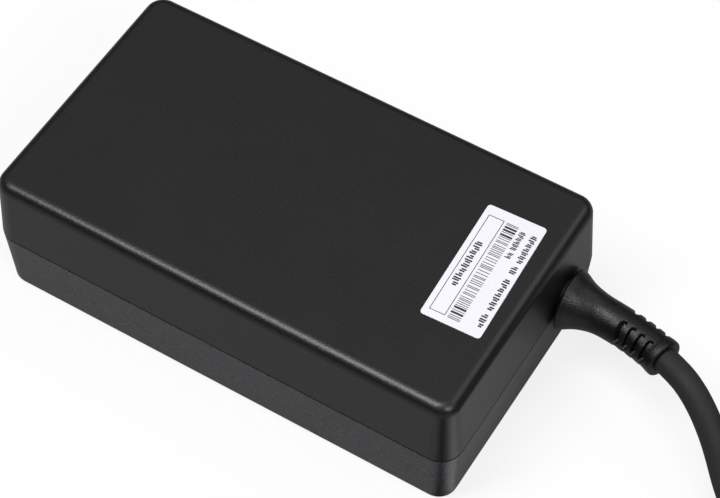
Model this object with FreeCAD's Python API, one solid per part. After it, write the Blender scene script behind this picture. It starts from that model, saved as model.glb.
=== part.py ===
import FreeCAD, Part
import math
import os
from FreeCAD import Vector

# Laptop power adapter, in millimetres.
# The origin is the middle of the underside. +X runs to the end where the low-voltage cord leaves,
# -Y is the long side that faces the viewer, and +Z is up.
# The case is two drafted shells that meet in a lapped seam. A board carries the mains inlet,
# the input filter, the boost stage, the main transformer and the output stage.

# Case
case_length = 116.0
case_width = 65.8
case_height = 35.0
seam_height = 17.4
upper_draft = 3.8
lower_draft = 3.5
corner_radius = 5.3
top_edge_radius = 2.6
bottom_edge_radius = 1.0
wall = 2.2
seam_groove_depth = 0.35
seam_groove_height = 0.5
lap_thickness = 1.0
lap_height = 1.9
fit_gap = 0.1

# Ribs, stands and posts inside the case
rib_thickness = 1.2
rib_depth = 1.5
rib_length = 12.0
ribs_per_side = 5
rib_root = 0.35
ledge_depth = 3.4
stand_radius = 3.0
stand_inset_x = 6.0
stand_inset_y = 4.5
locating_pin_radius = 1.2
post_radius = 2.5

# Circuit board
board_end_gap = 2.8
board_side_gap = 3.2
board_thickness = 1.6
board_rise = 4.8

# Heat spreaders and insulation
spreader_end_gap = 11.0
spreader_side_gap = 2.5
spreader_thickness = 0.8
sheet_thickness = 0.4
sheet_margin = 1.2
pad_margin = 1.5

# Sticker on the top face
label_length = 31.5
label_width = 13.9
label_thickness = 0.15
label_corner = 0.8
label_from_end = 13.15
label_across = 2.95
label_turn = 2.4

# Mains inlet with three round pins, in the end face away from the cord
inlet_width = 22.0
inlet_depth = 17.0
inlet_corner = 2.0
inlet_set_back = 0.8
inlet_flange_reach = 2.0
inlet_flange_thickness = 1.5
inlet_recess_depth = 12.0
inlet_lobe_radius = 4.3
inlet_pin_pitch = 10.0
inlet_pin_drop = 2.5
inlet_earth_rise = 3.0
inlet_pin_radius = 1.2
inlet_pin_set_back = 1.5
inlet_tab_width = 3.0
inlet_tab_thickness = 0.6

# Low-voltage cord and its strain relief
cord_diameter = 6.0
cord_from_side = 15.9
relief_length = 26.0
relief_straight = 6.0
relief_bend_radius = 55.0
relief_lean = 172.0
relief_rim_radius = 7.2
relief_rim_gap = 0.6
relief_rim_thickness = 0.5
relief_body_radius = 4.4
relief_collar_radius = 4.55
relief_collar_length = 2.3
relief_end_round = 0.9
relief_neck_radius = 5.0
relief_flange_radius = 7.0
relief_flange_thickness = 2.0
relief_bore_clearance = 0.05
notch_clearance = 0.2
window_first = 15.6
window_pitch = 2.5
window_count = 4
window_width = 1.15
window_floor_radius = 3.3
window_half_angle = 29.0
window_middles = (13.0, 133.0, 253.0)
cord_inner_length = 8.0

# Free stretch of the cord, from the strain relief to the coil
cord_exit_run = 4.6
cord_route = [
    (91.848, 9.956, 17.316),
    (95.613, 7.823, 15.597),
    (98.836, 5.719, 13.431),
    (101.9, 3.5, 10.8),
    (106.8, -0.7, 6.1),
    (111.8, -4.8, 4.3),
    (115.0, -9.0, 4.3),
]

# Put-away coil, in two layers of turns side by side
coil_centre_x = 157.0
coil_centre_y = 15.0
coil_radius = 48.0
turn_gap = 0.5
inward_quarter_count = 15
outward_quarter_count = 14
coil_entry_turn = 216.8699
lead_length = 6.0

# Tie round the bundle of turns
tie_thickness = 1.0
tie_width = 10.0
tie_gap = 0.3
tie_turn = 405.0
tie_overlap = 16.0

# Last stretch of the cord, from the coil to the plug
tail_route = [
    (189.625, -18.5, 10.8),
    (195.625, -14.0, 10.8),
    (201.5, -8.5, 9.3),
    (206.3, -2.0, 7.3),
    (209.9, 5.0, 5.8),
    (211.8, 12.5, 5.25),
    (211.8, 20.0, 5.25),
]

# Barrel plug
grip_length = 24.0
grip_radius = 5.25
grip_waist_radius = 4.1
grip_waist_length = 9.0
grip_ring_count = 3
grip_ring_width = 1.0
grip_ring_depth = 0.6
plug_length = 9.5
plug_radius = 2.75
plug_wall = 0.45
plug_bore_radius = 1.25
plug_contact_wall = 0.35
plug_root = 6.0
plug_root_step = 0.2
plug_tip_bevel = 0.3

# Input filter
fuse_length = 20.0
fuse_radius = 2.6
fuse_cap_radius = 3.0
fuse_cap_length = 5.0
varistor_radius = 5.0
varistor_thickness = 3.5
thermistor_radius = 5.5
thermistor_thickness = 3.3
leg_radius = 0.4
leg_length = 1.2
film_capacitor_width = 8.0
film_capacitor_height = 14.0
safety_capacitor_radius = 3.5
safety_capacitor_thickness = 2.6
line_choke_radius = 9.2
line_choke_bore = 5.0
line_choke_height = 8.0
line_winding_thickness = 1.2
line_winding_angle = 130.0
winding_clearance = 0.15

# Rectifier bridge
bridge_size = (22.0, 3.4, 18.0)
bridge_lead = 0.9

# Heatsinks and the devices screwed to them
sink_face_inset = 4.5
sink_thickness = 2.0
sink_top_gap = 1.0
sink_flange = 6.0
primary_sink_length = 44.0
secondary_sink_length = 23.0
device_width = 10.0
device_thickness = 4.6
device_body_height = 9.0
device_tab_thickness = 1.3
device_tab_height = 6.5
device_leg_length = 3.5
device_leg_width = 0.8
device_leg_pitch = 2.54
device_pad_thickness = 0.3
screw_radius = 1.5
screw_head_radius = 2.75
screw_head_height = 1.8
screw_hole_clearance = 0.3
screw_slot_width = 0.6
screw_slot_depth = 0.9

# Boost choke and main transformer
boost_core_length = 22.0
boost_top_gap = 3.0
boost_leg = 7.0
boost_yoke = 4.0
boost_side_leg = 3.5
main_core_length = 30.0
main_top_gap = 1.0
main_leg = 9.0
main_yoke = 5.0
main_side_leg = 5.0
bobbin_wall = 0.8
bobbin_gap = 0.3
winding_inset = 0.6

# Bulk capacitor and output stage
bulk_radius = 9.0
bulk_choke_gap = 3.95
can_groove_depth = 0.7
can_groove_place = 3.0
can_edge_round = 0.8
output_can_radius = 5.0
output_can_height = 18.0
output_can_pitch = 11.0
output_can_count = 3
curved_clearance = 0.3
output_choke_radius = 5.0
output_choke_bore = 2.6
output_choke_height = 7.0
output_winding_thickness = 0.9
output_winding_angle = 300.0
optocoupler_size = (6.5, 4.6, 3.5)
chip_size = (5.0, 4.0, 1.5)
power_wire_radius = 1.1
sense_wire_radius = 0.5
power_wire_bend = 3.0
sense_wire_bend = 2.0
power_wire_straight = 0.8
sense_wire_straight = 0.2
power_wire_offset = 1.5
sense_wire_drop = 1.9
power_wire_rise = 0.4

# Places of the parts on the board, as set-backs from its ends and sides
line_choke_end, line_choke_side = 28.5, 17.5
film_capacitor_end = 19.5
film_capacitor_gap, film_capacitor_choke_gap = 1.0, 1.45
bridge_end, bridge_side = 17.0, 7.8
fuse_end, fuse_side = 19.0, 3.5
varistor_end, varistor_side = 6.0, 11.2
thermistor_end, thermistor_side = 15.6, 13.5
safety_capacitor_ends = (11.0, 20.0)
safety_capacitor_side = 2.5
boost_end, boost_device_gap, boost_choke_gap = 38.0, 0.9, 0.45
main_end, main_side_gap = 41.0, 1.2
bulk_end, bulk_side = 29.0, 11.0
primary_device_places = (-15.5, -2.0, 11.5)
primary_sink_place = -2.0
secondary_sink_end = 18.5
secondary_device_ends = (24.5, 14.0)
output_can_end, output_can_across = 17.0, -2.0
output_choke_end, output_choke_across = 6.7, -7.5
optocoupler_end, optocoupler_core_gap = 25.7, 0.5
chip_steps = ((-6.0, 9.0), (12.0, 8.5))

# Values that follow from the sizes above
end_x = case_length / 2
side_y = case_width / 2
floor_top = wall
roof_under = case_height - wall
board_under = floor_top + board_rise
board_top = board_under + board_thickness
board_length = case_length - 2 * (wall + board_end_gap)
board_width = case_width - 2 * (wall + board_side_gap)
upper_slope = math.tan(math.radians(upper_draft))
lower_slope = math.tan(math.radians(lower_draft))
cord_across = side_y - cord_from_side
relief_base = Vector(end_x, cord_across, seam_height)
relief_side = Vector(0, math.cos(math.radians(relief_lean)), math.sin(math.radians(relief_lean)))
turn_pitch = cord_diameter + turn_gap
layer_heights = (cord_diameter / 2 + tie_thickness + tie_gap,
                 cord_diameter / 2 + tie_thickness + tie_gap + turn_pitch)
reversal_radius = coil_radius - turn_pitch * inward_quarter_count / 4
spreader_length = board_length - 2 * spreader_end_gap
spreader_width = board_width - 2 * spreader_side_gap
ceiling = roof_under - spreader_thickness - sheet_thickness
room_height = ceiling - board_top
sink_height = room_height - sink_top_gap

# Places that follow from the set-backs
inlet_end = -board_length / 2
cord_end = board_length / 2
near_side = -board_width / 2
far_side = board_width / 2
sink_face_y = far_side - sink_face_inset
device_front_y = sink_face_y - device_pad_thickness - device_thickness
line_choke_place = (inlet_end + line_choke_end, near_side + line_choke_side)
bridge_place = (inlet_end + bridge_end, far_side - bridge_side)
line_choke_reach = line_choke_radius + line_winding_thickness + winding_clearance
line_choke_top = line_choke_place[1] + line_choke_reach
film_capacitor_low = line_choke_top + film_capacitor_choke_gap
film_capacitor_high = bridge_place[1] - bridge_size[1] / 2 - film_capacitor_gap
film_capacitor_place = (inlet_end + film_capacitor_end, (film_capacitor_low + film_capacitor_high) / 2)
film_capacitor_size = (film_capacitor_width, film_capacitor_high - film_capacitor_low, film_capacitor_height)
fuse_place = (inlet_end + fuse_end, near_side + fuse_side)
varistor_place = (inlet_end + varistor_end, near_side + varistor_side)
thermistor_place = (inlet_end + thermistor_end, near_side + thermistor_side)
safety_capacitor_places = [(inlet_end + end, far_side - safety_capacitor_side) for end in safety_capacitor_ends]
boost_reach = boost_core_length - 2 * boost_side_leg - boost_leg - 2 * bobbin_gap - 2 * winding_inset
boost_low = line_choke_top + boost_choke_gap
boost_high = device_front_y - boost_device_gap
boost_core = (boost_core_length, boost_high - boost_low - boost_reach, room_height - boost_top_gap)
boost_place = (inlet_end + boost_end, (boost_low + boost_high) / 2)
bulk_high_x = cord_end - bulk_end
bulk_length = bulk_high_x - (line_choke_place[0] + line_choke_reach + bulk_choke_gap)
bulk_place = (bulk_high_x - bulk_length / 2, near_side + bulk_side)
main_reach = main_core_length - 2 * main_side_leg - main_leg - 2 * bobbin_gap - 2 * winding_inset
main_low = bulk_place[1] + bulk_radius + main_side_gap
main_high = device_front_y - main_side_gap
main_core = (main_core_length, main_high - main_low - main_reach, room_height - main_top_gap)
main_place = (cord_end - main_end, (main_low + main_high) / 2)
chip_places = [(x, bulk_place[1] + rise) for x, rise in chip_steps]
secondary_sink_place = cord_end - secondary_sink_end
secondary_device_places = tuple(cord_end - end for end in secondary_device_ends)
output_can_place = (cord_end - output_can_end, output_can_across)
output_choke_place = (cord_end - output_choke_end, output_choke_across)
optocoupler_place = (cord_end - optocoupler_end,
                     main_low + main_reach / 2 - optocoupler_core_gap - optocoupler_size[1] / 2)


# Basic solids

def block(x_low, x_high, y_low, y_high, z_low, z_high):
    """Straight block between two corners."""
    return Part.makeBox(x_high - x_low, y_high - y_low, z_high - z_low, Vector(x_low, y_low, z_low))


def block_on(place, size, z_low):
    """Straight block of a given size that stands on a height, centred on a place."""
    return block(place[0] - size[0] / 2, place[0] + size[0] / 2,
                 place[1] - size[1] / 2, place[1] + size[1] / 2, z_low, z_low + size[2])


def rounded_outline(length, width, radius, height):
    """Rectangle with round corners, centred on the origin, as a closed wire."""
    half_x = length / 2
    half_y = width / 2
    corners = [(half_x, half_y, 0), (-half_x, half_y, 90), (-half_x, -half_y, 180), (half_x, -half_y, 270)]
    edges = []
    last = None
    for x, y, start in corners:
        centre = Vector(x - math.copysign(radius, x), y - math.copysign(radius, y), height)
        points = [centre + Vector(radius * math.cos(math.radians(start + turn)),
                                  radius * math.sin(math.radians(start + turn)), 0)
                  for turn in (0, 45, 90)]
        if last is not None:
            edges.append(Part.LineSegment(last, points[0]).toShape())
        else:
            first = points[0]
        edges.append(Part.Arc(*points).toShape())
        last = points[2]
    edges.append(Part.LineSegment(last, first).toShape())
    return Part.Wire(edges)


def rounded_prism(length, width, radius, z_low, z_high):
    """Straight prism with round vertical edges, centred on the origin."""
    face = Part.Face(rounded_outline(length, width, radius, z_low))
    return face.extrude(Vector(0, 0, z_high - z_low))


def drafted_block(length, width, radius, z_base, z_end, slope):
    """Block with round vertical edges that narrows from z_base to z_end."""
    inset = abs(z_end - z_base) * slope
    base = rounded_outline(length, width, radius, z_base)
    end = rounded_outline(length - 2 * inset, width - 2 * inset, max(radius - inset, 0.4), z_end)
    return Part.makeLoft([base, end], True, True)


def edges_at_height(shape, height):
    """Edges that lie wholly at one height."""
    return [edge for edge in shape.Edges
            if abs(edge.BoundBox.ZMin - height) < 1e-4 and abs(edge.BoundBox.ZMax - height) < 1e-4]


def prism(points, direction):
    """Solid made by moving a closed polygon along a direction."""
    wire = Part.makePolygon([Vector(*p) for p in points] + [Vector(*points[0])])
    return Part.Face(wire).extrude(Vector(*direction))


def turned(profile, base, axis, angle=360.0):
    """Solid of revolution of a closed list of (along, out) points about an axis through base."""
    axis = Vector(axis).normalize()
    out = Vector(0, 0, 1) if abs(axis.z) < 0.9 else Vector(1, 0, 0)
    out = (out - axis * out.dot(axis)).normalize()
    points = [base + axis * along + out * away for along, away in profile]
    wire = Part.makePolygon(points + [points[0]])
    return Part.Face(wire).revolve(base, axis, angle)


def cylinder(radius, base, axis, length):
    """Plain cylinder from base along axis."""
    return Part.makeCylinder(radius, length, base, Vector(axis))


def grouped(shapes):
    """Separate solids in one node."""
    return Part.makeCompound(shapes)


# Case shells

def upper_outside():
    """Outer form of the upper shell, with its rounded top edge."""
    body = drafted_block(case_length, case_width, corner_radius, seam_height, case_height, upper_slope)
    return body.makeFillet(top_edge_radius, edges_at_height(body, case_height))


def lower_outside():
    """Outer form of the lower shell, with its rounded bottom edge."""
    body = drafted_block(case_length, case_width, corner_radius, seam_height, 0, lower_slope)
    return body.makeFillet(bottom_edge_radius, edges_at_height(body, 0))


def cavity(z_end, slope):
    """Space inside a shell, from the seam to its floor or roof."""
    return drafted_block(case_length - 2 * wall, case_width - 2 * wall, corner_radius - wall,
                         seam_height, z_end, slope)


def rib_places():
    """Places of the side ribs along the case."""
    pitch = board_length / (ribs_per_side + 1)
    return [(k - (ribs_per_side - 1) / 2) * pitch for k in range(ribs_per_side)]


def side_ribs(depth, z_low, z_high):
    """Thin ribs on both long walls, rooted in the wall."""
    root = case_width / 2 - wall + rib_root
    tip = case_width / 2 - wall - depth
    ribs = []
    for x in rib_places():
        for side in (-1, 1):
            y_low, y_high = sorted((side * tip, side * root))
            ribs.append(block(x - rib_thickness / 2, x + rib_thickness / 2, y_low, y_high, z_low, z_high))
    return ribs


def stand_places():
    """Places of the four stands that carry the board."""
    x = board_length / 2 - stand_inset_x
    y = board_width / 2 - stand_inset_y
    return [(sx * x, sy * y) for sx in (-1, 1) for sy in (-1, 1)]


def post_places():
    """Places of the four posts that hold the board down."""
    x = board_length / 2 - post_radius
    y = board_width / 2 - post_radius + 0.5
    return [(sx * x, sy * y) for sx in (-1, 1) for sy in (-1, 1)]


def end_openings():
    """Cuts in the end walls for the inlet and for the neck of the strain relief."""
    height = 2 * (seam_height - board_top + fit_gap)
    width = inlet_width + 2 * fit_gap
    reach = 3 * wall
    slot = rounded_prism(height, width, inlet_corner, 0, reach)
    slot.rotate(Vector(0, 0, 0), Vector(0, 1, 0), 90)
    slot.translate(Vector(-end_x - wall, 0, seam_height))
    hole = cylinder(relief_neck_radius + notch_clearance, Vector(end_x - 2 * wall, cord_across, seam_height),
                    Vector(1, 0, 0), reach)
    return [slot, hole]


def upper_shell():
    """Upper half of the case: roof, walls, rebate for the lap, ribs and hold-down posts."""
    body = upper_outside().cut(cavity(roof_under, upper_slope))
    room = lap_thickness + fit_gap
    rebate = rounded_prism(case_length - 2 * wall + 2 * room, case_width - 2 * wall + 2 * room,
                           corner_radius - wall + room, seam_height - 1, seam_height + lap_height + fit_gap)
    body = body.cut(rebate)
    added = side_ribs(rib_depth, roof_under - rib_length, roof_under + rib_root)
    for x, y in post_places():
        added.append(cylinder(post_radius, Vector(x, y, board_top), Vector(0, 0, 1),
                              roof_under + rib_root - board_top))
    return body.fuse(added).cut(end_openings())


def lower_shell():
    """Lower half of the case: floor, walls, tongue of the lap, ledges and board stands."""
    body = lower_outside().cut(cavity(floor_top, lower_slope))
    inner = rounded_prism(case_length - 2 * wall, case_width - 2 * wall, corner_radius - wall,
                          seam_height - 2, seam_height + lap_height + 1)
    tongue = rounded_prism(case_length - 2 * (wall - lap_thickness), case_width - 2 * (wall - lap_thickness),
                           corner_radius - wall + lap_thickness, seam_height - 1, seam_height + lap_height)
    around = rounded_prism(case_length + 2, case_width + 2, corner_radius + 1,
                           seam_height - seam_groove_height, seam_height + 1)
    core = rounded_prism(case_length - 2 * seam_groove_depth, case_width - 2 * seam_groove_depth,
                         corner_radius - seam_groove_depth, seam_height - seam_groove_height - 1, seam_height + 2)
    body = body.cut(around.cut(core)).fuse(tongue.cut(inner))
    added = side_ribs(ledge_depth, floor_top - rib_root, board_under)
    for x, y in stand_places():
        added.append(cylinder(stand_radius, Vector(x, y, floor_top - rib_root), Vector(0, 0, 1),
                              board_rise + rib_root))
        added.append(cylinder(locating_pin_radius, Vector(x, y, board_under - 1), Vector(0, 0, 1),
                              board_thickness + 1))
    return body.fuse(added).cut(end_openings())


def product_label():
    """Blank sticker, laid on the top face a little askew."""
    label = rounded_prism(label_width, label_length, label_corner, case_height, case_height + label_thickness)
    label.rotate(Vector(0, 0, 0), Vector(0, 0, 1), label_turn)
    label.translate(Vector(end_x - label_from_end, label_across, 0))
    return label


# Mains inlet

def inlet_front():
    """Place of the inlet's front face along X."""
    return -end_x + inlet_set_back


def inlet_pin_places():
    """Across and height of the line, neutral and earth pins."""
    low = seam_height - inlet_pin_drop
    return {"line": (-inlet_pin_pitch / 2, low), "neutral": (inlet_pin_pitch / 2, low),
            "earth": (0.0, seam_height + inlet_earth_rise)}


def inlet_recess():
    """Three-lobed socket space, open to the front."""
    front = inlet_front() - 1
    depth = inlet_recess_depth + 1
    places = list(inlet_pin_places().values())
    lobes = [cylinder(inlet_lobe_radius, Vector(front, y, z), Vector(1, 0, 0), depth) for y, z in places]
    middle = prism([(front, y, z) for y, z in places], (depth, 0, 0))
    low = places[0][1]
    sill = block(front, front + depth, places[0][0], places[1][0], low - inlet_lobe_radius / 2, low)
    return lobes[0].fuse(lobes[1:] + [middle, sill])


def inlet_housing():
    """Moulded body of the inlet: shroud, back wall and the flange behind the case wall."""
    front = inlet_front()
    height = 2 * (seam_height - board_top)
    body = rounded_prism(height, inlet_width, inlet_corner, 0, inlet_depth)
    flange = rounded_prism(height, inlet_width + 2 * inlet_flange_reach, inlet_corner,
                           0, inlet_flange_thickness)
    for shape in (body, flange):
        shape.rotate(Vector(0, 0, 0), Vector(0, 1, 0), 90)
    body.translate(Vector(front, 0, seam_height))
    flange_front = -end_x + wall + upper_slope * (seam_height - board_top) + fit_gap
    flange.translate(Vector(flange_front, 0, seam_height))
    holes = [cylinder(inlet_pin_radius + relief_bore_clearance, Vector(front, y, z), Vector(1, 0, 0),
                      inlet_depth + 1) for y, z in inlet_pin_places().values()]
    return body.fuse(flange).cut([inlet_recess()] + holes)


def inlet_pin(name):
    """One contact pin, with the tab behind it that is soldered to the board."""
    y, z = inlet_pin_places()[name]
    front = inlet_front()
    rear = front + inlet_depth
    tip = front + inlet_pin_set_back
    ease = inlet_pin_radius * 0.5
    reach = rear - tip + inlet_tab_thickness
    profile = [(0, 0), (0, inlet_pin_radius - ease), (ease, inlet_pin_radius), (reach, inlet_pin_radius), (reach, 0)]
    pin = turned(profile, Vector(tip, y, z), Vector(1, 0, 0))
    tab = block(rear, rear + inlet_tab_thickness, y - inlet_tab_width / 2, y + inlet_tab_width / 2,
                board_top, z + inlet_tab_width / 2)
    return pin.fuse(tab)


# Strain relief and cord

def relief_frame(along):
    """Point and direction of the strain relief's gently bent axis, at a length from the case."""
    turn = max(0.0, along - relief_straight) / relief_bend_radius
    point = relief_base + Vector(min(along, relief_straight) + relief_bend_radius * math.sin(turn), 0, 0)
    point = point + relief_side * (relief_bend_radius * (1 - math.cos(turn)))
    return point, Vector(math.cos(turn), 0, 0) + relief_side * math.sin(turn)


def relief_circle(along, radius):
    """Circle round the axis of the strain relief."""
    point, direction = relief_frame(along)
    return Part.Wire(Part.makeCircle(radius, point, direction))


def relief_trumpet():
    """Bent body of the strain relief, which flares to the rim at the case."""
    waist = relief_body_radius
    flare = relief_rim_radius - 0.1 - waist
    start = relief_rim_gap + relief_rim_thickness
    places = [(start, 1.0), (start + 1.4, 0.81), (start + 2.9, 0.50), (start + 4.9, 0.24), (start + 6.9, 0.075)]
    end = relief_length - relief_collar_length
    places += [(start + 9.4, 0.01), (start + 13.0, 0.0), (end - 4.0, 0.0), (end + 0.1, 0.0)]
    return Part.makeLoft([relief_circle(s, waist + flare * share) for s, share in places], True, False)


def relief_window(along, middle):
    """Cutter for one round-ended slot across the strain relief."""
    point, direction = relief_frame(along)
    half = window_width / 2
    outer = relief_rim_radius
    ring = turned([(-half, window_floor_radius), (half, window_floor_radius), (half, outer), (-half, outer)],
                  Vector(0, 0, 0), Vector(1, 0, 0), 2 * window_half_angle)
    ends = [cylinder(half, Vector(0, 0, window_floor_radius), Vector(0, 0, 1), outer - window_floor_radius)
            for _ in range(2)]
    ends[1].rotate(Vector(0, 0, 0), Vector(1, 0, 0), 2 * window_half_angle)
    cutter = ring.fuse(ends)
    cutter.rotate(Vector(0, 0, 0), Vector(1, 0, 0), middle - window_half_angle - 90)
    cutter.Placement = FreeCAD.Placement(point, FreeCAD.Rotation(Vector(1, 0, 0), direction)).multiply(
        cutter.Placement)
    return cutter


def relief_windows():
    """Rings of slots, each of three round the strain relief."""
    cutters = []
    for k in range(window_count):
        along = window_first + k * window_pitch
        cutters += [relief_window(along, middle) for middle in window_middles]
    return cutters


def free_route():
    """Corner points of the free stretch, which leaves the strain relief straight on."""
    end, direction = relief_frame(relief_length)
    ahead = end + direction * cord_exit_run
    return [tuple(end), tuple(ahead)] + cord_route


def inner_cord_path():
    """Axis of the jacketed cord from inside the case to the end of the strain relief."""
    start = relief_base - Vector(cord_inner_length, 0, 0)
    bend, _ = relief_frame(relief_straight)
    middle, _ = relief_frame((relief_straight + relief_length) / 2)
    end, _ = relief_frame(relief_length)
    return Part.Wire([Part.LineSegment(start, bend).toShape(),
                      Part.Arc(bend, middle, end).toShape()])


def tube_along(path, radius):
    """Solid tube of a radius along a path."""
    edge = path.OrderedEdges[0]
    start = edge.valueAt(edge.FirstParameter)
    direction = edge.tangentAt(edge.FirstParameter)
    circle = Part.Wire(Part.makeCircle(radius, start, direction))
    return path.makePipeShell([circle], True, False)


def strain_relief():
    """Flange inside the wall, neck, outer rim, bent trumpet, collar and slots."""
    flange_out = -wall - upper_slope * relief_flange_radius - fit_gap
    flange_in = flange_out - relief_flange_thickness
    rim_in = relief_rim_gap
    rim_out = rim_in + relief_rim_thickness
    profile = [(flange_in, 0), (flange_in, relief_flange_radius), (flange_out, relief_flange_radius),
               (flange_out, relief_neck_radius), (rim_in, relief_neck_radius), (rim_in, relief_rim_radius),
               (rim_out + 0.05, relief_rim_radius - 0.05), (rim_out + 0.05, 0)]
    root = turned(profile, relief_base, Vector(1, 0, 0))
    end, direction = relief_frame(relief_length)
    collar = cylinder(relief_collar_radius, end - direction * relief_collar_length, direction,
                      relief_collar_length)
    rim = [e for e in collar.Edges if e.CenterOfMass.distanceToPoint(end) < 0.01]
    collar = collar.makeFillet(relief_end_round, rim)
    body = root.fuse([relief_trumpet(), collar])
    bore = tube_along(inner_cord_path(), cord_diameter / 2 + relief_bore_clearance)
    return body.cut(relief_windows()).cut(bore)


def dc_cord_inner_end():
    """Jacketed end of the cord, held in the strain relief."""
    return tube_along(inner_cord_path(), cord_diameter / 2)


def route_wire(points, name):
    """Path of straight runs joined by tangent arcs. Prints the arcs' radii."""
    points = [Vector(*p) for p in points]
    edges = []
    radii = []
    last = points[0]
    for before, corner, after in zip(points, points[1:], points[2:]):
        back = min((corner - before).Length, (after - corner).Length) * 0.45
        incoming = (corner - before).normalize()
        outgoing = (after - corner).normalize()
        half_turn = incoming.getAngle(outgoing) / 2
        radius = back / math.tan(half_turn)
        start = corner - incoming * back
        end = corner + outgoing * back
        inward = (outgoing - incoming).normalize()
        middle = corner + inward * (radius / math.cos(half_turn) - radius)
        edges.append(Part.LineSegment(last, start).toShape())
        edges.append(Part.Arc(start, middle, end).toShape())
        radii.append(round(radius, 1))
        last = end
    edges.append(Part.LineSegment(last, points[-1]).toShape())
    print(name, "arc radii", radii)
    return Part.Wire(edges)


def cord_along(points, name):
    """Cord tube along a route, with its volume held against section times length."""
    path = route_wire(points, name)
    tube = tube_along(path, cord_diameter / 2)
    expected = math.pi * (cord_diameter / 2) ** 2 * path.Length
    print(name, "length", round(path.Length, 1), "volume share", round(tube.Volume / expected, 4))
    return tube


def dc_cord():
    """Free stretch of the cord, from the strain relief down to the coil."""
    return cord_along(free_route(), "free stretch")


# Put-away coil, its tie and the last stretch of cord

def coil_nodes():
    """Points of the coil a quarter turn apart, each with its direction."""
    centre = Vector(coil_centre_x, coil_centre_y, 0)
    rise = layer_heights[1] - layer_heights[0]
    last = inward_quarter_count + outward_quarter_count
    nodes = []
    for k in range(last + 1):
        turn = math.radians(coil_entry_turn + 90 * k)
        out = Vector(math.cos(turn), math.sin(turn), 0)
        ahead = Vector(-math.sin(turn), math.cos(turn), 0)
        steps = abs(k - inward_quarter_count)
        radius = reversal_radius + turn_pitch * steps / 4
        height = layer_heights[0] if k < inward_quarter_count else layer_heights[1]
        growth = turn_pitch / (2 * math.pi) * (-1 if k < inward_quarter_count else 1)
        climb = 0.0
        if k == inward_quarter_count:
            height = sum(layer_heights) / 2
            climb = 1.5 * rise / math.pi
        if k in (0, inward_quarter_count, last):
            growth = 0.0
        direction = (out * growth + ahead * radius + Vector(0, 0, climb)).normalize()
        nodes.append((centre + out * radius + Vector(0, 0, height), direction))
    return nodes


def tangent_arc(start, direction, end):
    """Arc that leaves start along direction and reaches end, or a straight edge."""
    chord = end - start
    angle = direction.getAngle(chord)
    if angle < 1e-6:
        return Part.LineSegment(start, end).toShape()
    aside = direction - Vector(chord).normalize() * direction.dot(Vector(chord).normalize())
    middle = (start + end) * 0.5 + aside.normalize() * (chord.Length / 2 * math.tan(angle / 2))
    return Part.Arc(start, middle, end).toShape()


def pair_of_arcs(start, start_direction, end, end_direction):
    """Two arcs that meet smoothly and join two points with given directions."""
    span = end - start
    match = start_direction.dot(end_direction)
    total = start_direction + end_direction
    along = span.dot(total)
    if 1 - match < 1e-9:
        reach = span.dot(span) / (4 * span.dot(start_direction))
    else:
        spread = 2 * (1 - match)
        reach = (-along + math.sqrt(along ** 2 + spread * span.dot(span))) / spread
    first = start + start_direction * reach
    second = end - end_direction * reach
    joint = (first + second) * 0.5
    joint_direction = (second - first).normalize()
    return [tangent_arc(start, start_direction, joint), tangent_arc(joint, joint_direction, end)]


def coil_path():
    """Axis of the coil with its straight ends."""
    nodes = coil_nodes()
    start, direction = nodes[0]
    edges = [Part.LineSegment(start - direction * lead_length, start).toShape()]
    for (a, a_direction), (b, b_direction) in zip(nodes, nodes[1:]):
        edges.extend(pair_of_arcs(a, a_direction, b, b_direction))
    end, direction = nodes[-1]
    edges.append(Part.LineSegment(end, end + direction * lead_length).toShape())
    return Part.Wire(edges)


def least_gap(paths):
    """Smallest clear distance between stretches of cord that aren't neighbours along it."""
    points = []
    for path in paths:
        for edge in path.OrderedEdges:
            count = max(2, int(edge.Length / 2.5) + 1)
            samples = edge.discretize(count)
            if edge.Orientation == "Reversed":
                samples.reverse()
            points.extend(samples[1:])
    travelled = [0.0]
    for a, b in zip(points, points[1:]):
        travelled.append(travelled[-1] + a.distanceToPoint(b))
    least = 1e9
    for i, a in enumerate(points):
        for j in range(i + 1, len(points)):
            if travelled[j] - travelled[i] > 6 * cord_diameter:
                least = min(least, a.distanceToPoint(points[j]))
    return least - cord_diameter


def dc_cord_coil():
    """Wound part of the cord, one unbroken tube in two layers."""
    path = coil_path()
    tube = tube_along(path, cord_diameter / 2)
    expected = math.pi * (cord_diameter / 2) ** 2 * path.Length
    print("coil length", round(path.Length, 1), "volume share", round(tube.Volume / expected, 4))
    return tube


def dc_cord_tail():
    """Last stretch of the cord, from the coil down to the plug."""
    return cord_along(tail_route, "tail")


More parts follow.
